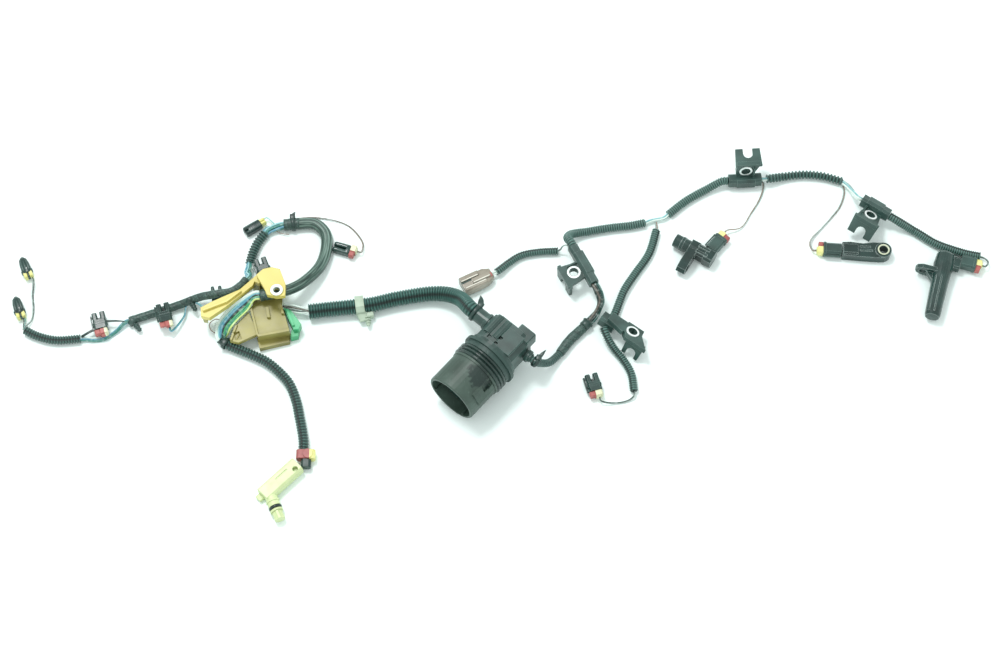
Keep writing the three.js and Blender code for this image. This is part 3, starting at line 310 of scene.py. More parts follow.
# Near-white brown for the ridges on top: a painted highlight
brown_highlight = moulded("brown_polyester_painted_highlight", srgb(206, 206, 190), srgb(236, 238, 226), (0.2, 0.4))
cream = moulded("cream_polyester", srgb(190, 206, 152), srgb(214, 230, 178), (0.32, 0.5))
beige = moulded("beige_nylon", srgb(146, 168, 146), srgb(184, 202, 182), (0.4, 0.55))
rubber = moulded("seal_rubber", srgb(20, 40, 36), srgb(40, 64, 58), (0.16, 0.34), grain=0.00003)
red_bare = moulded("red_nylon", srgb(158, 92, 90), srgb(190, 128, 122), (0.35, 0.5))
yellow_bare = moulded("yellow_nylon", srgb(206, 206, 116), srgb(232, 232, 164), (0.35, 0.5))
tie = moulded("tie_nylon", srgb(24, 46, 42), srgb(46, 74, 68), (0.3, 0.45), edge=0.0003)


def two_tone(name, place, axis, limit, below, above):
    """One moulding in two colours that meet on a plane across a seated piece, limit millimetres from its spot."""
    look = Look(name)
    patches = look.noise(70, 4)
    tones = [look.ramp(patches, [(0.3, low), (0.7, high)]) for low, high in (below, above)]
    look.colour(look.mix(look.maths("GREATER_THAN", look.along(place, axis), limit), *tones))
    look.moulded_skin((0.38, 0.56))
    return look.material


def guide_plastic():
    """Tan nylon of the wire guide: the cap and tongue, over 20.5 mm up, are painted paler than the base, as painted
    light on the top and painted shade on the lower base.
    """
    look = Look("tan_nylon")
    # Height mask: the top paler as painted light, the base below darker as painted shade
    lit_top_mask = look.maths("GREATER_THAN", look.parts("Object")["Z"], 0.0205)
    base = look.tones(40, 5, srgb(118, 114, 54), srgb(160, 156, 86), 0.25, 0.75)
    top = look.tones(40, 5, srgb(190, 178, 80), srgb(212, 202, 112), 0.25, 0.75)
    look.colour(look.mix(lit_top_mask, base, top))
    look.moulded_skin((0.3, 0.5), edge=0.0006)
    return look.material


def lock_in_three():
    """Red lock with a yellow end past 3.6 mm across and a black foot past 9.2 mm along."""
    look = Look("tones_cream_branch_lock")
    reds, yellows, blacks = (look.tones(70, 4, low, high) for low, high in (REDS, YELLOWS, BLACKS))
    side = look.maths("GREATER_THAN", look.along("lock_cream", "y"), 3.6)
    foot = look.maths("GREATER_THAN", look.along("lock_cream", "x"), 9.2)
    look.colour(look.mix(foot, look.mix(side, reds, yellows), blacks))
    look.moulded_skin((0.34, 0.52))
    return look.material


def worn_shell():
    """Nylon of the round plug: a warmer grey-green barrel with scuffs, pale streaks along the object's Y that are
    painted highlights, and a dark oily patch by the seal. The patch is where |run - 24.5| + |across - 11| + 26 *
    noise is under about half of 56 mm."""
    look = Look("round_plug_nylon")
    run, across = look.along("round_plug", "x"), look.along("round_plug", "y")
    tone = look.tones(45, 6, srgb(42, 62, 53), srgb(68, 90, 80))
    tone = look.mix(look.maths("LESS_THAN", run, 6), tone, srgb(38, 66, 60))
    off_run, off_across = (look.maths("ABSOLUTE", look.maths("SUBTRACT", far, middle))
                           for far, middle in ((run, 24.5), (across, 11.0)))
    ragged = look.maths("ADD", look.maths("ADD", off_run, off_across),
                        look.maths("MULTIPLY", look.noise(240, 5), 26.0))
    stain = look.share(look.maths("DIVIDE", ragged, 56.0), 0.5, 0.44, 0.92)
    tone = look.mix(stain, tone, srgb(12, 38, 33))
    # Pale streaks drawn out along the object's Y: painted highlights
    highlight_streaks = look.share(look.noise(900, 2, stretch=(1, 0.12, 1)), 0.66, 0.78, 0.5)
    look.colour(look.mix(highlight_streaks, tone, srgb(104, 128, 118)))
    look.roughness(look.noise(90, 5), 0.34, 0.56)
    look.relief(look.noise(1300, 4), 0.00007, 0.45, 0.0006)
    return look.material


def bright_steel(name="zinc_steel", place=None, bore=4.6):
    """Zinc-plated steel. A bush that stands at a seated piece's spot is painted dark inside its bore, a painted
    shade in the hole, where the distance sqrt(x^2 + y^2) from the axis is under bore millimetres."""
    look = Look(name)
    look.shader.inputs["Metallic"].default_value = 0.4
    tone = look.tones(300, 5, srgb(216, 232, 228), srgb(248, 254, 252))
    if place:
        # Inside the bore: painted shade
        squares = [look.maths("POWER", look.along(place, axis), 2.0) for axis in "xy"]
        bore_shade_mask = look.maths("LESS_THAN", look.maths("SQRT", look.maths("ADD", *squares)), bore)
        tone = look.mix(bore_shade_mask, tone, srgb(58, 84, 78))
    look.colour(tone)
    look.roughness(look.noise(700, 3, stretch=(1, 1, 6)), 0.22, 0.42)
    look.relief(look.noise(2400, 2, stretch=(1, 1, 8)), 0.00003, 0.4, 0.0003)
    return look.material


def conduit_plastic(name, low, high):
    """Split tube: painted shade in the valleys and in the slit, and a painted highlight along the crests. UV x runs
    once round the tube, with the slit at one half, and y is the run in corrugations: a crest is (1 + cos(2 pi y)) /
    2."""
    look = Look(name)
    parts = look.parts("UV")
    wave = look.maths("COSINE", look.maths("MULTIPLY", parts["Y"], 2 * math.pi))
    # Valleys painted dark as painted shade, crests painted pale as painted highlight
    ribs = look.ramp(look.maths("MULTIPLY_ADD", wave, 0.5, 0.5), [(0.1, low), (0.62, high)])
    away = look.maths("ABSOLUTE", look.maths("SUBTRACT", parts["X"], 0.5))
    # The slit painted near-black: painted shade in the slit
    look.colour(look.mix(look.share(away, 0.06, 0.012, 0.92), ribs, srgb(14, 30, 26)))
    look.roughness(look.noise(240, 4), 0.22, 0.4)
    look.relief(look.noise(900, 4), 0.00008, 0.35)
    return look.material


def sleeve_film():
    """Smooth sleeve over the wires: streaks along it, painted shade in its creases and painted sheen where it shines.
    """
    look = Look("loop_sleeve")
    sheen_and_crease_streaks = look.noise(1.0, 5, "UV", (16, 0.035, 1))
    fine = look.noise(1.0, 4, "UV", (60, 0.2, 1))
    # Dark streaks are painted crease shade, pale ones painted sheen
    tone = look.ramp(sheen_and_crease_streaks, [(0.38, srgb(20, 46, 39)), (0.5, srgb(46, 76, 66)), (0.64, srgb(128, 156, 145))])
    # Fine pale streaks mixed in: painted sheen
    look.colour(look.mix(look.share(fine, 0.54, 0.66, 0.75), tone, srgb(108, 136, 124)))
    look.roughness(fine, 0.2, 0.46)
    look.relief(sheen_and_crease_streaks, 0.0014, 0.8)
    return look.material


def cloth_tape():
    """Harness tape: laps across the run, each painted darkest at its edge as painted shade under the overlapping
    lap, a fine cloth grain and lint. The lap is the fraction of UV y + x, so that its edge winds round the bundle."""
    look = Look("cloth_tape")
    parts = look.parts("UV")
    lap = look.maths("FRACT", look.maths("ADD", parts["Y"], parts["X"]))
    # Lap tones: darkest just past each step, painted shade under the overlapping edge
    tone = look.ramp(lap, [(0.0, srgb(14, 36, 32)), (0.12, srgb(36, 60, 54)), (0.95, srgb(50, 78, 71))])
    look.colour(look.mix(look.share(look.noise(620, 6), 0.5, 0.72, 0.8), tone, srgb(90, 120, 111)))
    look.roughness(look.noise(400, 4), 0.34, 0.56)
    look.relief(look.noise(2600, 3), 0.0001, 0.5)
    return look.material


def insulation():
    """Wire insulation in the colour its own attribute gives, with scuffs."""
    look = Look("wire_insulation")
    tone = look.node("Attribute", attribute_name="wire_colour").outputs["Color"]
    look.colour(look.mix(look.share(look.noise(300, 4), 0.5, 0.9, 0.7), tone, srgb(214, 232, 226)))
    look.roughness(look.noise(300, 3), 0.28, 0.46)
    look.relief(look.noise(900, 3), 0.00004, 0.3)
    return look.material


tan, cream_branch_lock, plug_shell, steel = guide_plastic(), lock_in_three(), worn_shell(), bright_steel()
# The two tones of each conduit: painted valley shade and painted crest highlight
conduit = conduit_plastic("split_conduit", srgb(20, 46, 41), srgb(62, 96, 89))
fine_conduit = conduit_plastic("fine_conduit", srgb(22, 50, 44), srgb(80, 116, 108))
main_conduit = conduit_plastic("main_conduit", srgb(18, 58, 51), srgb(56, 100, 92))
loop_film, tape_cloth, wire_skin = sleeve_film(), cloth_tape(), insulation()


# Surfaces
CONDUIT_SIDES, SLEEVE_SIDES, TAPE_SIDES, WIRE_SIDES = 32, 40, 24, 10
CORD_LEAST, CORD_LEAST_DIAMETERS, FINE_STEPS = 0.03, 6.1, 40
TABLE_GAP, RIB_EDGE, SLIT_HALF, LAP_STEP, FLUTE = 0.1, 2.2, 0.034, 0.24, 0.2
WANDER, WANDER_RUN, FLATTEN = 0.22, 0.031, 0.8


def smooth_line(points, spacing, start=0.0, stop=None):
    """Points in metres at even spacing along a centripetal Catmull-Rom curve through given points.
    start and stop, in metres along the curve, take a part of it; a value below zero counts from the end."""
    p = np.array(points, float) * MM
    p = np.vstack([2 * p[0] - p[1], p, 2 * p[-1] - p[-2]])
    knots = np.concatenate([[0], np.cumsum(np.sqrt(np.linalg.norm(np.diff(p, axis=0), axis=1)))])

    def blend(t, low, high, first, second):
        return (high - t) / (high - low) * first + (t - low) / (high - low) * second

    fine = []
    for i in range(1, len(p) - 2):
        k = knots[i - 1:i + 3]
        t = np.linspace(k[1], k[2], FINE_STEPS, endpoint=False)[:, None]
        near = [blend(t, k[j], k[j + 1], p[i - 1 + j], p[i + j]) for j in range(3)]
        wide = [blend(t, k[j], k[j + 2], near[j], near[j + 1]) for j in range(2)]
        fine.append(blend(t, k[1], k[2], *wide))
    fine = np.vstack(fine + [p[-2][None]])
    length = np.concatenate([[0], np.cumsum(np.linalg.norm(np.diff(fine, axis=0), axis=1))])
    end = length[-1] if stop is None else stop if stop > 0 else length[-1] + stop
    start = start if start >= 0 else length[-1] + start
    at = np.linspace(start, end, max(4, int(round((end - start) / spacing)) + 1))
    return np.stack([np.interp(at, length, fine[:, k]) for k in range(3)], 1), at - start


def frames(line):
    """Tangent, sideways and upward directions at each point of a line that never stands upright."""
    tangent = np.gradient(line, axis=0)
    tangent /= np.linalg.norm(tangent, axis=1)[:, None]
    side = np.cross(tangent, (0, 0, 1.0))
    side /= np.linalg.norm(side, axis=1)[:, None]
    return tangent, side, np.cross(side, tangent)


def grid_mesh(name, grids, runs, tints=None, closed_run=False):
    """One mesh of closed skins. Each grid of points has the shape (rings, sides, 3), and a face closes
    each of its ends unless it runs round into itself. runs gives the UV's y at each ring."""
    base, co, loops, totals, uvs, colours, smooth = 0, [], [], [], [], [], []
    for n, (grid, along) in enumerate(zip(grids, runs)):
        count, sides = grid.shape[:2]
        steps = count if closed_run else count - 1
        i, j = np.meshgrid(np.arange(steps), np.arange(sides), indexing="ij")
        k, m = (j + 1) % sides, (i + 1) % count
        faces = np.stack([i * sides + j, m * sides + j, m * sides + k, i * sides + k], -1).reshape(-1, 4)
        turn = np.stack([j, j, j + 1, j + 1], -1).reshape(-1, 4) / sides
        way = np.append(along, 2 * along[-1] - along[-2])[np.stack([i, i + 1, i + 1, i], -1)].reshape(-1, 4)
        co.append(grid.reshape(-1, 3))
        loops.append(faces.ravel() + base)
        totals.append(np.full(len(faces), 4))
        smooth.append(np.ones(len(faces), bool))
        uvs.append(np.stack([turn, way], -1).reshape(-1, 2))
        if not closed_run:
            for end, row in ((np.arange(sides), 0), (np.arange(sides)[::-1] + (count - 1) * sides, -1)):
                loops.append(end + base)
                totals.append([sides])
                smooth.append([False])
                uvs.append(np.stack([np.linspace(0, 0.3, sides), np.full(sides, along[row])], -1))
        if tints is not None:
            colours.append(np.tile(tints[n], (count * sides, 1)))
        base += count * sides
    totals = np.concatenate(totals)
    mesh = bpy.data.meshes.new(name)
    mesh.vertices.add(base)
    mesh.vertices.foreach_set("co", np.concatenate(co).astype(np.float32).ravel())
    mesh.loops.add(int(totals.sum()))
    mesh.loops.foreach_set("vertex_index", np.concatenate(loops).astype(np.int32))
    mesh.polygons.add(len(totals))
    mesh.polygons.foreach_set("loop_start", (np.cumsum(totals) - totals).astype(np.int32))
    mesh.polygons.foreach_set("loop_total", totals.astype(np.int32))
    mesh.uv_layers.new(name="UVMap").data.foreach_set("uv", np.concatenate(uvs).astype(np.float32).ravel())
    if tints is not None:
        tint = mesh.color_attributes.new("wire_colour", "FLOAT_COLOR", "POINT")
        tint.data.foreach_set("color", np.concatenate(colours).astype(np.float32).ravel())
    mesh.update(calc_edges=True)
    mesh.polygons.foreach_set("use_smooth", np.concatenate(smooth))
    return mesh


def add(name, mesh, material):
    made = placed(name, mesh)
    mesh.materials.append(material)
    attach(made, "root")
    return made


def round_angles(sides):
    return 2 * np.pi * np.arange(sides) / sides


def skin(line, radius, sides):
    """Rings round a line, counter-clockwise seen from ahead: the point at ring i and turn j lies at
    radius[i, j], or radius if it is one number, from the line, along side * cos(turn) + up * sin(turn)."""
    _, side, up = frames(line)
    angle = round_angles(sides)
    radius = np.broadcast_to(radius, (len(line), sides))[..., None]
    return line[:, None] + radius * (np.cos(angle)[None, :, None] * side[:, None]
                                     + np.sin(angle)[None, :, None] * up[:, None])


def as_cord(made, node, at, radius):
    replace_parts(made, node)
    diameter = 2 * radius * MM
    if at[-1] < max(CORD_LEAST, CORD_LEAST_DIAMETERS * diameter):
        return


def corrugated(name, node, radius, slit=0.75, pitch=2.3, depth=0.7, material=fine_conduit, start=0.0, stop=None):
    """Split corrugated tube. The radius falls and rises as tanh(2.2 cos(2 pi s / pitch)) along the run s,
    depth being how far the valleys lie under the crests, and no crest sinks under the table. The slit is a
    groove whose middle stands slit turns round from the side; the UV starts half a turn from it."""
    line, at = smooth_line(ROUTES[node], pitch * MM / 8, start * MM, stop and stop * MM)
    line[:, 2] = np.maximum(line[:, 2], (radius + TABLE_GAP) * MM)
    ribs = np.tanh(RIB_EDGE * np.cos(2 * np.pi * at / (pitch * MM))) / np.tanh(RIB_EDGE)
    away = np.abs((np.arange(CONDUIT_SIDES) / CONDUIT_SIDES - slit + 0.5) % 1 - 0.5)
    groove = np.exp(-(away / SLIT_HALF) ** 2)
    radii = (radius - depth / 2 + ribs[:, None] * depth / 2 - groove[None]) * MM
    grid = np.roll(skin(line, radii, CONDUIT_SIDES), -int(round((slit - 0.5) * CONDUIT_SIDES)), 1)
    made = add(name, grid_mesh(name, [grid], [at / (pitch * MM)]), material)
    as_cord(made, node, at, radius)


WIRE_COLOURS = {
    "teal": srgb(60, 132, 120), "blue": srgb(84, 148, 168), "pale": srgb(216, 234, 226),
    "green": srgb(62, 156, 102), "dark": srgb(26, 54, 48), "bottle": srgb(38, 88, 80),
    "umber": srgb(96, 92, 84), "brown": srgb(132, 112, 98),
    "grey": srgb(142, 160, 154), "lime": srgb(190, 216, 132), "sky": srgb(134, 190, 192),
}


def bundle(name, route, radius, colours, twist=5.0, spread=1.0, wire=None, start=0.0, stop=None):
    """Loose bundle of wires. Wire k stands at the turn k / count + s * twist round the run s, on a ring
    that swells by spread in the middle of the run and closes again at both ends. A route given by name is
    that of a CAD node, which the bundle stands for; one given as points is a loose end."""
    named = isinstance(route, str)
    line, at = smooth_line(ROUTES[route] if named else route, 0.0014, start * MM, stop and stop * MM)
    _, side, up = frames(line)
    colours = colours.split()
    count = len(colours)
    if wire is None:
        wire = radius if count == 1 else radius / (1 + 1 / math.sin(math.pi / max(count, 3)))
    ring = 0 if count == 1 else radius - wire
    swell = 1 + (spread - 1) * np.sin(np.pi * at / at[-1]) ** 2
    grids = []
    for k in range(count):
        turn = 2 * np.pi * (k / count + twist * at)
        wander = 1 + WANDER * np.sin(2 * np.pi * (at / WANDER_RUN + 0.37 * k))
        centre = line + (ring * MM * swell * wander)[:, None] * (
            np.cos(turn)[:, None] * side + FLATTEN * np.sin(turn)[:, None] * up)
        centre[:, 2] = np.maximum(centre[:, 2], wire * MM * 1.02)
        grids.append(skin(centre, wire * MM, WIRE_SIDES))
    mesh = grid_mesh(name, grids, [at / 0.01] * count, [WIRE_COLOURS[c] for c in colours])
    made = add(name, mesh, wire_skin)
    if named:
        as_cord(made, route.rstrip("_12").removesuffix("_bare"), at, radius)


def taped(name, node, radius, lap=9.0, start=0.0, stop=None, swell=0.0, wrap=False):
    """Taped bundle: each lap of tape steps the radius up by 0.24 mm over its width, and the wires under it
    leave five soft flutes. swell thickens the middle of the run. A wrap lies over another cord's skin."""
    line, at = smooth_line(ROUTES[node], 0.0012, start * MM, stop and stop * MM)
    turn = np.arange(TAPE_SIDES) / TAPE_SIDES
    step = (at[:, None] / (lap * MM) + turn[None]) % 1
    flutes = FLUTE * np.cos(2 * np.pi * 5 * turn)[None] * np.sin(at / 0.021)[:, None]
    thick = swell * np.sin(np.pi * at / at[-1]) ** 0.5
    radii = (radius + LAP_STEP * (step - 0.5) + flutes + thick[:, None]) * MM
    made = add(name, grid_mesh(name, [skin(line, radii, TAPE_SIDES)], [at / (lap * MM)]), tape_cloth)
    if not wrap:
        as_cord(made, node, at, radius)


def smooth_sleeve(name, node, radius):
    """Thin sleeve drawn over a bundle: two flutes 0.26 mm deep turn over along it, and a crease 0.3 mm deep
    wanders from side to side."""
    line, at = smooth_line(ROUTES[node], 0.0015)
    turn = np.arange(SLEEVE_SIDES) / SLEEVE_SIDES
    soft = 0.26 * np.cos(2 * np.pi * 2 * turn)[None] * np.sin(at / 0.03)[:, None]
    crease = -0.3 * np.exp(-(((turn[None] - 0.3 - 0.08 * np.sin(at / 0.04)[:, None]) / 0.03) ** 2))
    grid = skin(line, (radius + soft + crease) * MM, SLEEVE_SIDES)
    made = add(name, grid_mesh(name, [grid], [at / 0.003]), loop_film)
    as_cord(made, node, at, radius)


def seated(place, points):
    """Points given in a seated piece's own millimetres, brought to the row frame in metres."""
    spot, x, y = (np.array(v) for v in PLACES[place])
    axes = np.stack([x, y, np.cross(x, y)])
    return (np.asarray(points, float) @ axes + spot) * MM


def revolved(name, centre, axis, profile, material, slot, sides=36):
    """A closed profile of (radius, along) points in millimetres, turned about an axis through centre: a point
    lies at radius * (across * cos(turn) + other * sin(turn)) + along * axis."""
    axis = np.array(axis, float) / np.linalg.norm(axis)
    across = np.cross(axis, (0, 0, 1.0) if abs(axis[2]) < 0.9 else (1.0, 0, 0))
    across /= np.linalg.norm(across)
    other = np.cross(axis, across)
    angle = round_angles(sides)
    out = np.cos(angle)[:, None] * across + np.sin(angle)[:, None] * other
    p = np.array(profile, float) * MM
    grid = np.asarray(centre) + p[None, :, 0, None] * out[:, None] + p[None, :, 1, None] * axis
    return add(name, grid_mesh(name, [grid], [np.arange(sides) / sides], closed_run=True), material)


def round_band(radius, width, thickness):
    """Profile of a band with rounded rims, counter-clockwise from its inner low corner."""
    r = thickness * 0.35
    return [(radius, -width / 2), (radius + thickness - r, -width / 2), (radius + thickness, -width / 2 + r),
            (radius + thickness, width / 2 - r), (radius + thickness - r, width / 2), (radius, width / 2)]


def strip(name, points, widths, heights, material, slot, power=4.0, sides=20):
    """Solid along a line whose section is a superellipse: |a / width|^power + |b / height|^power = 1.
    widths and heights, in millimetres, are half sizes at each given point."""
    line, at = smooth_line(points, 0.0008)
    given = np.array(points, float) * MM
    marks = np.concatenate([[0], np.cumsum(np.linalg.norm(np.diff(given, axis=0), axis=1))])
    w, h = (np.interp(at / at[-1] * marks[-1], marks, np.array(v, float) * MM) for v in (widths, heights))
    _, side, up = frames(line)
    angle = round_angles(sides)
    a = np.sign(np.cos(angle)) * np.abs(np.cos(angle)) ** (2 / power)
    b = np.sign(np.sin(angle)) * np.abs(np.sin(angle)) ** (2 / power)
    grid = line[:, None] + (w[:, None] * a)[..., None] * side[:, None] + (h[:, None] * b)[..., None] * up[:, None]
    return add(name, grid_mesh(name, [grid], [at / 0.01]), material)


def cable_tie(name, route, where, radius, tail, head_turn=0.25, widths=(1.7, 1.5, 0.5)):
    """Nylon tie round a cord, its head on top and its cut tail standing off. tail is the tip, in millimetres
    from the head: to the side, along the cord and up."""
    line, at = smooth_line(ROUTES[route], 0.001)
    i = int(np.argmin(np.abs(at - (where * MM if where > 0 else at[-1] + where * MM))))
    tangent, side, up = (v[i] for v in frames(line))
    revolved(f"{name}_band", line[i], tangent, round_band(radius, 3.4, 1.2), tie, "tape")
    turn = 2 * math.pi * head_turn
    out = math.cos(turn) * side + math.sin(turn) * up
    head = (line[i] + out * (radius + 1.2) * MM) / MM
    tip = head + tail[0] * side + tail[1] * tangent + tail[2] * up
    strip(f"{name}_head", [head - 2.6 * side, head, head + 2.6 * side], [2.6, 2.8, 2.4], [1.8, 2.0, 1.7], tie, "tape")
    bend = (head + tip) / 2 + 0.6 * out
    strip(f"{name}_tail", [head, bend, tip], widths, [0.9, 0.8, 0.4], tie, "tape", 3.0)


# Cords, left to right
corrugated("conduit_far_left", "tube_far_left", 4.2, 0.2, 2.6, 0.9, conduit)
bundle("wires_past_first_plug", "tube_far_left_bare_1", 2.1, "teal blue pale sky blue teal")
corrugated("conduit_upper_left", "tube_upper_left", 4.7, 0.4, 2.9, 1.3, conduit)
bundle("wires_into_trunk", "tube_upper_left_bare_1", 3.2, "blue sky teal pale blue teal", twist=3, wire=1)
smooth_sleeve("loop_sleeve", "sleeve_loop", 5.4)
bundle("wires_into_sleeve", "sleeve_loop_bare_1", 3.6, "blue teal sky blue dark teal", wire=1.1)
bundle("lead_upper_left", "sleeve_loop_bare_2", 1, "sky pale")
corrugated("conduit_cream_branch", "tube_cream_branch", 4.8, 0.2, 2.9, 1, conduit)
corrugated("conduit_main", "tube_main", 7.6, 0.17, 2.7, 1.2, main_conduit)
bundle("guide_wire_upper", "tube_main_bare_1", 1.9, "umber pale pale", wire=0.85, spread=1.3)
bundle("guide_wire_lower", "tube_main_bare_2", 1.7, "pale grey", wire=0.85, spread=1.5)
taped("taped_trunk_run", "taped_trunk", 3.9)
bundle("lead_left_second", "taped_trunk_bare_1", 1, "blue teal", spread=1.8, wire=0.62)
bundle("lead_left_third", "taped_trunk_bare_2", 1, "sky blue", spread=1.6, wire=0.62)
corrugated("conduit_brown_branch", "tube_brown_branch", 3.7, 0.3, start=4.6)
bundle("wires_at_brown_plug", "tube_brown_branch", 1.9, "pale pale grey", stop=6)
bundle("wires_to_first_clip", "tube_brown_branch_bare_1", 0.9, "grey dark")
corrugated("conduit_outlet", "tube_outlet", 3.8, pitch=2.4, depth=0.6, material=conduit, stop=46)
taped("taped_outlet", "tube_outlet", 4.1, start=44, stop=84, swell=0.7)
bundle("bare_bundle_at_first_clip", "tube_outlet", 3.6, "bottle dark umber dark bottle dark teal", twist=2,
       wire=1.15, start=83.5)
corrugated("conduit_upper_right_a", "tube_upper_right_a", 4.2, 0.62)
bundle("wires_at_fork", "tube_upper_right_a_bare_1", 1.9, "pale sky pale teal")
corrugated("conduit_drop", "tube_drop_branch", 4, 0.4)
bundle("wires_into_drop", "tube_drop_branch_bare_1", 1.2, "brown grey")
corrugated("conduit_lower_right", "tube_lower_right", 3.9, 0.12)
corrugated("conduit_upper_right_b", "tube_upper_right_b", 4.1, 0.62)
corrugated("conduit_upper_right_c", "tube_upper_right_c", 4.3, pitch=3.4, depth=1.6, material=conduit, start=5.5)
bundle("wires_past_third_clip", "tube_upper_right_c", 2, "pale sky teal grey", stop=7)
bundle("wires_to_fourth_clip", "tube_upper_right_c_bare_1", 2.4, "pale sky grey teal pale")
corrugated("conduit_far_right", "tube_far_right", 4.2, 0.3, 2.2, 0.6)
bundle("lead_long_sensor", "tube_far_right_bare_1", 1, "dark grey")
bundle("lead_far_left_upper", "wires_far_left_1", 1.1, "grey dark")
bundle("lead_far_left_lower", "wires_far_left_2", 1.1, "dark teal")
bundle("lead_loose_plug", "wires_loose_1", 0.9, "umber brown", wire=0.4)
bundle("lead_lower_right", "wires_lower_right_1", 1, "dark grey", wire=0.55)
bundle("lead_short_sensor", "wires_short_1", 1, "brown grey", wire=0.5)
bundle("lead_flat_sensor", "wires_flat_1", 1, "grey brown", wire=0.5)

# Fan of wires from the sleeve's end down to the cream sensor's branch: each wire is its own curve,
# blended between the outermost and the innermost one, and its points stray by half a millimetre.
FAN = "pale pale sky blue blue dark dark green teal green lime".split()
FAN_WIRE, FAN_STRAY = 0.98, 0.5
FAN_OUTER = np.array([(-227.7, 35.8, 24), (-232.7, 35.4, 24), (-246.7, 28.3, 21), (-259.7, 17.8, 16),
                      (-269.2, 6.8, 7), (-267.6, -6.2, 7.4), (-263.6, -8, 5.6)])
FAN_INNER = np.array([(-227.7, 28.8, 23), (-232.7, 27.6, 22.6), (-239.2, 19.8, 18), (-247.2, 10.8, 18.5),
                      (-254.2, 1.3, 17), (-258.8, -2.2, 9.2), (-262.4, -5.2, 6)])
rng = np.random.default_rng(7)
fan_grids, fan_runs = [], []
for across in np.linspace(0, 1, len(FAN)):
    points = FAN_OUTER * (1 - across) + FAN_INNER * across
    points[1:-1] += rng.uniform(-FAN_STRAY, FAN_STRAY, (len(points) - 2, 3))
    fan_line, fan_at = smooth_line(points, 0.0014)
    fan_grids.append(skin(fan_line, FAN_WIRE * MM, WIRE_SIDES))
    fan_runs.append(fan_at / 0.01)
fan_mesh = grid_mesh("fan_of_wires", fan_grids, fan_runs, [WIRE_COLOURS[c] for c in FAN])
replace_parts(add("fan_of_wires", fan_mesh, wire_skin), "wires_fan")

# Steel eye of the wire guide, O-ring of the cream sensor's nozzle, and the web of the guide's left block
UP = (0, 0, 1)
DARK, GLOSS, BROWN = (black, "black_plastic"), (black_gloss, "black_plastic"), (brown, "brown_plastic")
guide_eye = np.array((-210.7, 31.26, 36.9)) * MM
revolved("guide_eye", guide_eye, UP, [(3.1, -4), (3.55, -4), (3.55, -0.2), (5.7, -0.2), (6, 0.1), (6, 0.5),
                                      (5.6, 0.8), (3.5, 0.8), (3.1, 0.4)], steel, "steel")
seat_spot, nozzle_side, nozzle_root = seated("sensor_cream", [(0, 0, 0), (0.4, 1, 0), (37, 2, 6.3)])
nozzle_way = nozzle_side - seat_spot
nozzle_way /= np.linalg.norm(nozzle_way)
revolved("nozzle_ring", nozzle_root + nozzle_way * 15.6 * MM, nozzle_way, round_band(4.62, 2.6, 1.5), rubber,
         "rubber")
strip("guide_web", [(-253.2, -8.4, 11.6), (-247.6, -6.2, 11.8), (-243.4, -4.6, 11.6)], (4.4, 5.2, 4.4),
      (1, 1, 1), tan, "tan_plastic", 5, 24)
strip("guide_web_rib", [(-249.4, -10.6, 13), (-246.2, -2.6, 13.2)], (0.6, 0.6), (0.7, 0.7), tan, "tan_plastic",
      4, 12)

# Loose ends of wire beside the guide, and a thread at the sleeve
bundle("guide_loop_outer", [(-264.4, 13.2, 9), (-271.3, 14.7, 7), (-276.9, 11.8, 3), (-275.3, 6.2, 1.5),
                            (-269.2, 1.6, 2.5), (-264.2, -1.2, 4)], 0.45, "brown")
bundle("guide_loop_inner", [(-265.4, 11.6, 8), (-270.5, 11.9, 5), (-273.5, 9.1, 2), (-271.5, 5.2, 1.5),
                            (-266.4, 2.4, 3)], 0.4, "pale")
bundle("sleeve_thread", [(-225.7, 109.5, 5), (-219.2, 111.7, 3), (-212.4, 109.4, 2), (-205.4, 108, 3)],
       0.4, "brown")

# Studs of the taped trunk, turned about their own X: a collar, a stem and two fir-tree steps
STUD = [(0.2, -0.4), (4.4, -0.4), (4.6, 0.2), (4.6, 3.2), (4.2, 3.6), (1.6, 3.8), (1.6, 6.4), (3, 6.8), (2, 8.4),
        (1.6, 8.8), (2.8, 9.4), (1.8, 11), (1.5, 11.6), (2.5, 12.2), (1.2, 14.2), (0.2, 14.4)]
for stud in ("stud_first", "stud_second"):
    spot, way, _ = PLACES[stud]
    revolved(stud, np.array(spot) * MM, way, STUD, *DARK, 20)


def strip_at(place, name, points, *section):
    """A strip whose points are in its seat's own millimetres."""
    return strip(name, seated(place, points) / MM, *section)


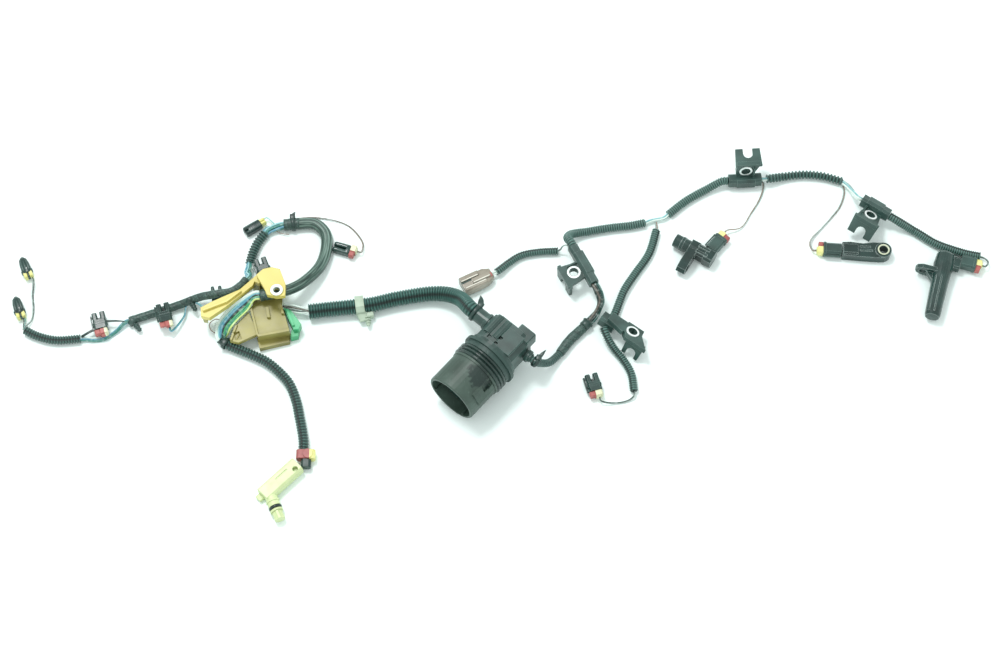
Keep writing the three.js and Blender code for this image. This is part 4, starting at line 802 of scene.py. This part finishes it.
def pod(name, place, node):
    """Plug of the far left branch, in its seat's millimetres: a round-nosed body with a ridge down its back,
    two shoulders at its root and a split yellow cap round the wires."""
    body = strip_at(place, f"{name}_body", [(4.6, 0.5, 5.2), (9, 0.5, 5.3), (15, 0.5, 5.3), (20, 0.5, 5.2),
                                            (23.2, 0.5, 5)],
                    (4.4, 5, 4.8, 3.9, 1.5), (4.6, 5.2, 5.1, 4.3, 2.4), *GLOSS, 3)
    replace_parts(body, node)
    for part, across in (("ridge", 0.5), ("rail_left", 3.2), ("rail_right", -2.2)):
        strip_at(place, f"{name}_{part}", [(7, across, 9.9), (13, across, 10.1), (19.5, across * 0.8, 9.2)],
                 (0.6, 0.8, 0.5), (0.5, 0.6, 0.4), *DARK, 3, 12)
    strip_at(place, f"{name}_shoulder", [(7, -4.8, 5.2), (6.4, 0.5, 5.4), (7, 5.8, 5.2)],
             (1.3, 1.7, 1.3), (3.4, 4.4, 3.4), *DARK, 3, 16)
    for side, across in (("left", 3), ("right", -2)):
        strip_at(place, f"{name}_cap_{side}", [(0.3, across, 5), (2.4, across, 5), (5.6, across, 5.2)],
                 (1.5, 1.9, 1.9), (3.4, 4, 4.2), yellow_bare, "yellow_plastic", 3, 16)
    strip_at(place, f"{name}_wire_throat", [(0.2, 0.5, 4.8), (5.4, 0.5, 5)], (1.2, 1.4), (3, 3.6), *DARK, 3, 16)


pod("pod_upper", "far_left_upper", "plug_far_left_upper")
pod("pod_lower", "far_left_lower", "plug_far_left_lower")

# Tape over both ends of the sleeve, the collar of the outlet, the strap and cut tie by the first plug, and the
# buckle of the tube clamp
taped("sleeve_start_tape", "sleeve_loop", 5.7, 4, 0, 15, wrap=True)
taped("sleeve_end_tape", "sleeve_loop", 5.6, 5, -17, wrap=True)
collar_line, _ = smooth_line(ROUTES["tube_outlet"], 0.001, 0.080, 0.087)
collar_way = collar_line[-1] - collar_line[0]
collar_line[:, 2] = 5.9 * MM
revolved("outlet_collar", collar_line[3], collar_way, round_band(3.4, 6.5, 1.6), black, "rubber")
revolved("outlet_collar_rim", collar_line[6], collar_way, round_band(4.2, 1.6, 1.6), black, "rubber")
strip("first_plug_strap", [(-397.1, -2.4, 4.5), (-391.8, 0.3, 6.5), (-385, 4.5, 6.5)], (1.3, 1.2, 1.2),
      (0.6, 0.6, 0.6), tie, "tape", 3, 12)
strip("first_plug_tie_tail", [(-374.4, 12.2, 8.5), (-365.9, 12.5, 8.5), (-357, 13.5, 5.5)], (1.2, 1, 0.5),
      (0.6, 0.5, 0.3), tie, "tape", 3, 12)
strip("clamp_buckle", [(-132.4, 21.8, 7.5), (-129.5, 14.2, 4.6)], (5, 4.4), (3.6, 3), beige, "beige_plastic")

# Ring of the flat sensor's bolt hole
# Pale edge tone of the ring: partly wear, partly a painted highlight
eye_brass = moulded("eye_ring_worn_and_glinting_edges", srgb(176, 190, 158), srgb(214, 222, 196), (0.3, 0.5), edge_wear_and_glint=srgb(236, 240, 222))
revolved("flat_sensor_eye", seated("sensor_flat", [(39.4, 0, 11.5)])[0], UP,
         [(4.32, -9), (4.75, -9), (4.75, -0.3), (5.6, -0.3), (5.8, 0), (5.6, 0.4), (4.6, 0.4), (4.32, 0.1)],
         eye_brass, "steel")

# Brown plug: its body, latch and rails, ridges on top painted pale as painted highlights, a black strip as
# painted shade in the groove between them, and the red lock
brown_body = strip_at("brown", "brown_body", [(0.8, -0.5, 5.2), (7, 0, 5.4), (20, 0, 5.4), (32, 0, 5.2)],
                      (5.4, 8.2, 9, 8.4), (4.4, 5.3, 5.3, 5.1), *BROWN, 6, 28)
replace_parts(brown_body, "plug_brown")
for part, across, start, end, half, top in (("latch", 0.8, 3, 22, 2.8, 12.4), ("rail_near", 5.4, 8, 31, 1.8, 11.4),
                                            ("rail_far", -5.2, 13, 32, 2.7, 12.2)):
    strip_at("brown", f"brown_{part}", [(start, across, top - 1.8), (end, across, top - 1.8)],
             (half, half), (1.8, 1.8), *BROWN, 6)
# Pale ridge strips: painted highlights along the ridges
for part, across, start, end, top in (("near", 4.6, 9, 30.5, 11.5), ("far", -3.2, 14, 31.5, 12.3),
                                      ("mid", 2.6, 4, 21, 12.5)):
    strip_at("brown", f"brown_ridge_{part}", [(start, across, top), (end, across, top)],
             (0.5, 0.5), (0.4, 0.4), brown_highlight, "brown_plastic", 3, 12)
# Black strip down the groove: painted shade in the channel
strip_at("brown", "brown_groove_painted_shade", [(16, -1.8, 10.7), (32, -1.8, 10.6)], (0.8, 0.8), (0.3, 0.3), black,
         "brown_plastic", 4, 12)
strip_at("brown", "brown_plug_lock", [(1.4, 1.4, 9.6), (5.4, 1.4, 10.6)], (2.2, 2.4), (1, 1), red_bare,
         "red_plastic")


def small_plug(name, place, node, root, front, half, top, fork, gap, rails=(), middle=0.4):
    """Low plug in its seat's millimetres: a body from root to front, half wide to each side, whose last fork
    millimetres are split in two prongs gap apart, and a worn line along each rail on top."""
    centre, split = top / 2, front - fork
    body = strip_at(place, f"{name}_body", [(root, middle, centre), ((root + split) / 2, middle, centre),
                                            (split, middle, centre)],
                    (half * 0.92, half, half), (centre * 0.96, centre, centre), *GLOSS, 5, 28)
    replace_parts(body, node)
    prong = (half - gap / 2) / 2
    for side, sign in (("low", -1), ("high", 1)):
        across = middle + sign * (gap / 2 + prong)
        strip_at(place, f"{name}_prong_{side}", [(split - 1, across, centre), (front - 1.2, across, centre),
                                                 (front, across, centre)],
                 (prong, prong, prong * 0.7), (centre * 0.96, centre * 0.96, centre * 0.6), *GLOSS)
    for across in rails:
        strip_at(place, f"{name}_rail_{'low' if across < middle else 'high'}",
                 [(root + 1, across, top), (front - fork * 0.4, across, top)], (0.7, 0.6), (0.5, 0.5), *DARK, 3, 12)


small_plug("third_left_plug", "left_third", "plug_left_third", root=0.3, front=16.4, half=5.2, top=8.4, fork=7,
           gap=3.4)
small_plug("upper_left_plug", "upper_left", "plug_upper_left", root=5.4, front=23.2, half=4.6, top=8.2, fork=4,
           gap=1, rails=(-2.4, 3.2))
small_plug("loose_plug", "loose", "plug_loose", root=6.2, front=23.2, half=5, top=8.6, fork=13, gap=1.3,
           rails=(-3.4, 4.2))
for side, across in (("low", -1.3), ("high", 2.1)):
    strip_at("upper_left", f"upper_left_cap_{side}", [(0.3, across, 4.4), (5.6, across, 4.4)], (1.5, 1.7),
             (3.4, 3.8), yellow_bare, "yellow_plastic", 3)

# Ties
cable_tie("neck_tie", "tube_main", -3, 7.7, (-6.5, -5.5, 3), 0.4, (3.2, 2.4, 0.3))
cable_tie("outlet_tie", "tube_outlet", 5, 4.1, (-9.5, 3, 3), 0.35, (2.2, 1.5, 0.3))
cable_tie("sleeve_tie", "sleeve_loop", 9, 5.8, (-4, 3, 2), 0.4)
cable_tie("guide_thread_tie", "tube_cream_branch", 6, 4.9, (5, -4, 3), 0.2)

# Finishes of the rigid pieces. A two-tone one names its seat, where across it the tones meet, and the tones.
LIKE_PIECES = {
    "round_plug_seal": rubber, "contact_block": black_gloss, "sensor_flat": black_gloss,
    "sensor_long": black_gloss, "sensor_short": black_gloss, "round_plug": plug_shell, "wire_guide": tan,
    "guide_lock": green, "sensor_cream": cream, "tube_clamp": beige, "sensor_lock_cream": cream_branch_lock,
}
TWO_TONES = {
    "lock_left_first": ("left_first", -2.4, CREAMS), "lock_left_second": ("left_second", -2.4, CREAMS),
    "lock_lower_right": ("lower_right", 1.2, CREAMS), "lock_loose": ("loose", 1.2, CREAMS),
    **{f"sensor_lock_{end}": (f"socket_{end}", 1.2, YELLOWS) for end in ("short", "flat", "long")},
}
for name, node in nodes.items():
    if name.startswith("bush_"):
        look = bright_steel(f"zinc_steel_{name}", name.replace("bush", "clip"))
    elif name in TWO_TONES:
        place, limit, low_side = TWO_TONES[name]
        look = two_tone(f"tones_{name}", place, "y", limit, low_side, REDS)
    else:
        look = LIKE_PIECES.get(name, plug_black if name.startswith("plug_") else black)
    node.data.materials.clear()
    node.data.materials.append(look)

# Floor, a hair under the table's plane, and light
FLOOR_HALF = 6
floor_mesh = bpy.data.meshes.new("floor")
floor_mesh.from_pydata([(x * FLOOR_HALF, y * FLOOR_HALF, 0) for x, y in ((-1, -1), (1, -1), (1, 1), (-1, 1))], [],
                       [(0, 1, 2, 3)])
floor = placed("floor", floor_mesh)
floor.location.z = -0.2 * MM
paper = Look("floor_paper")
for socket, value in (("Base Color", (0.88, 1.0, 0.975, 1)), ("Roughness", 0.9), ("Specular IOR Level", 0.1)):
    paper.shader.inputs[socket].default_value = value
floor_mesh.materials.append(paper.material)

world = bpy.data.worlds.new("studio")
bpy.context.scene.world = world
world.use_nodes = True
world.node_tree.nodes["Background"].inputs["Color"].default_value = (1, 1, 1, 1)
world.node_tree.nodes["Background"].inputs["Strength"].default_value = 1.02

softbox = bpy.data.lights.new("key_softbox", "AREA")
softbox.size = 0.6
softbox.energy = 38
key = placed("key_softbox", softbox)
key.location = (-0.7, 0.85, 2.5)
key.rotation_euler = (-key.location).to_track_quat("-Z", "Y").to_euler()
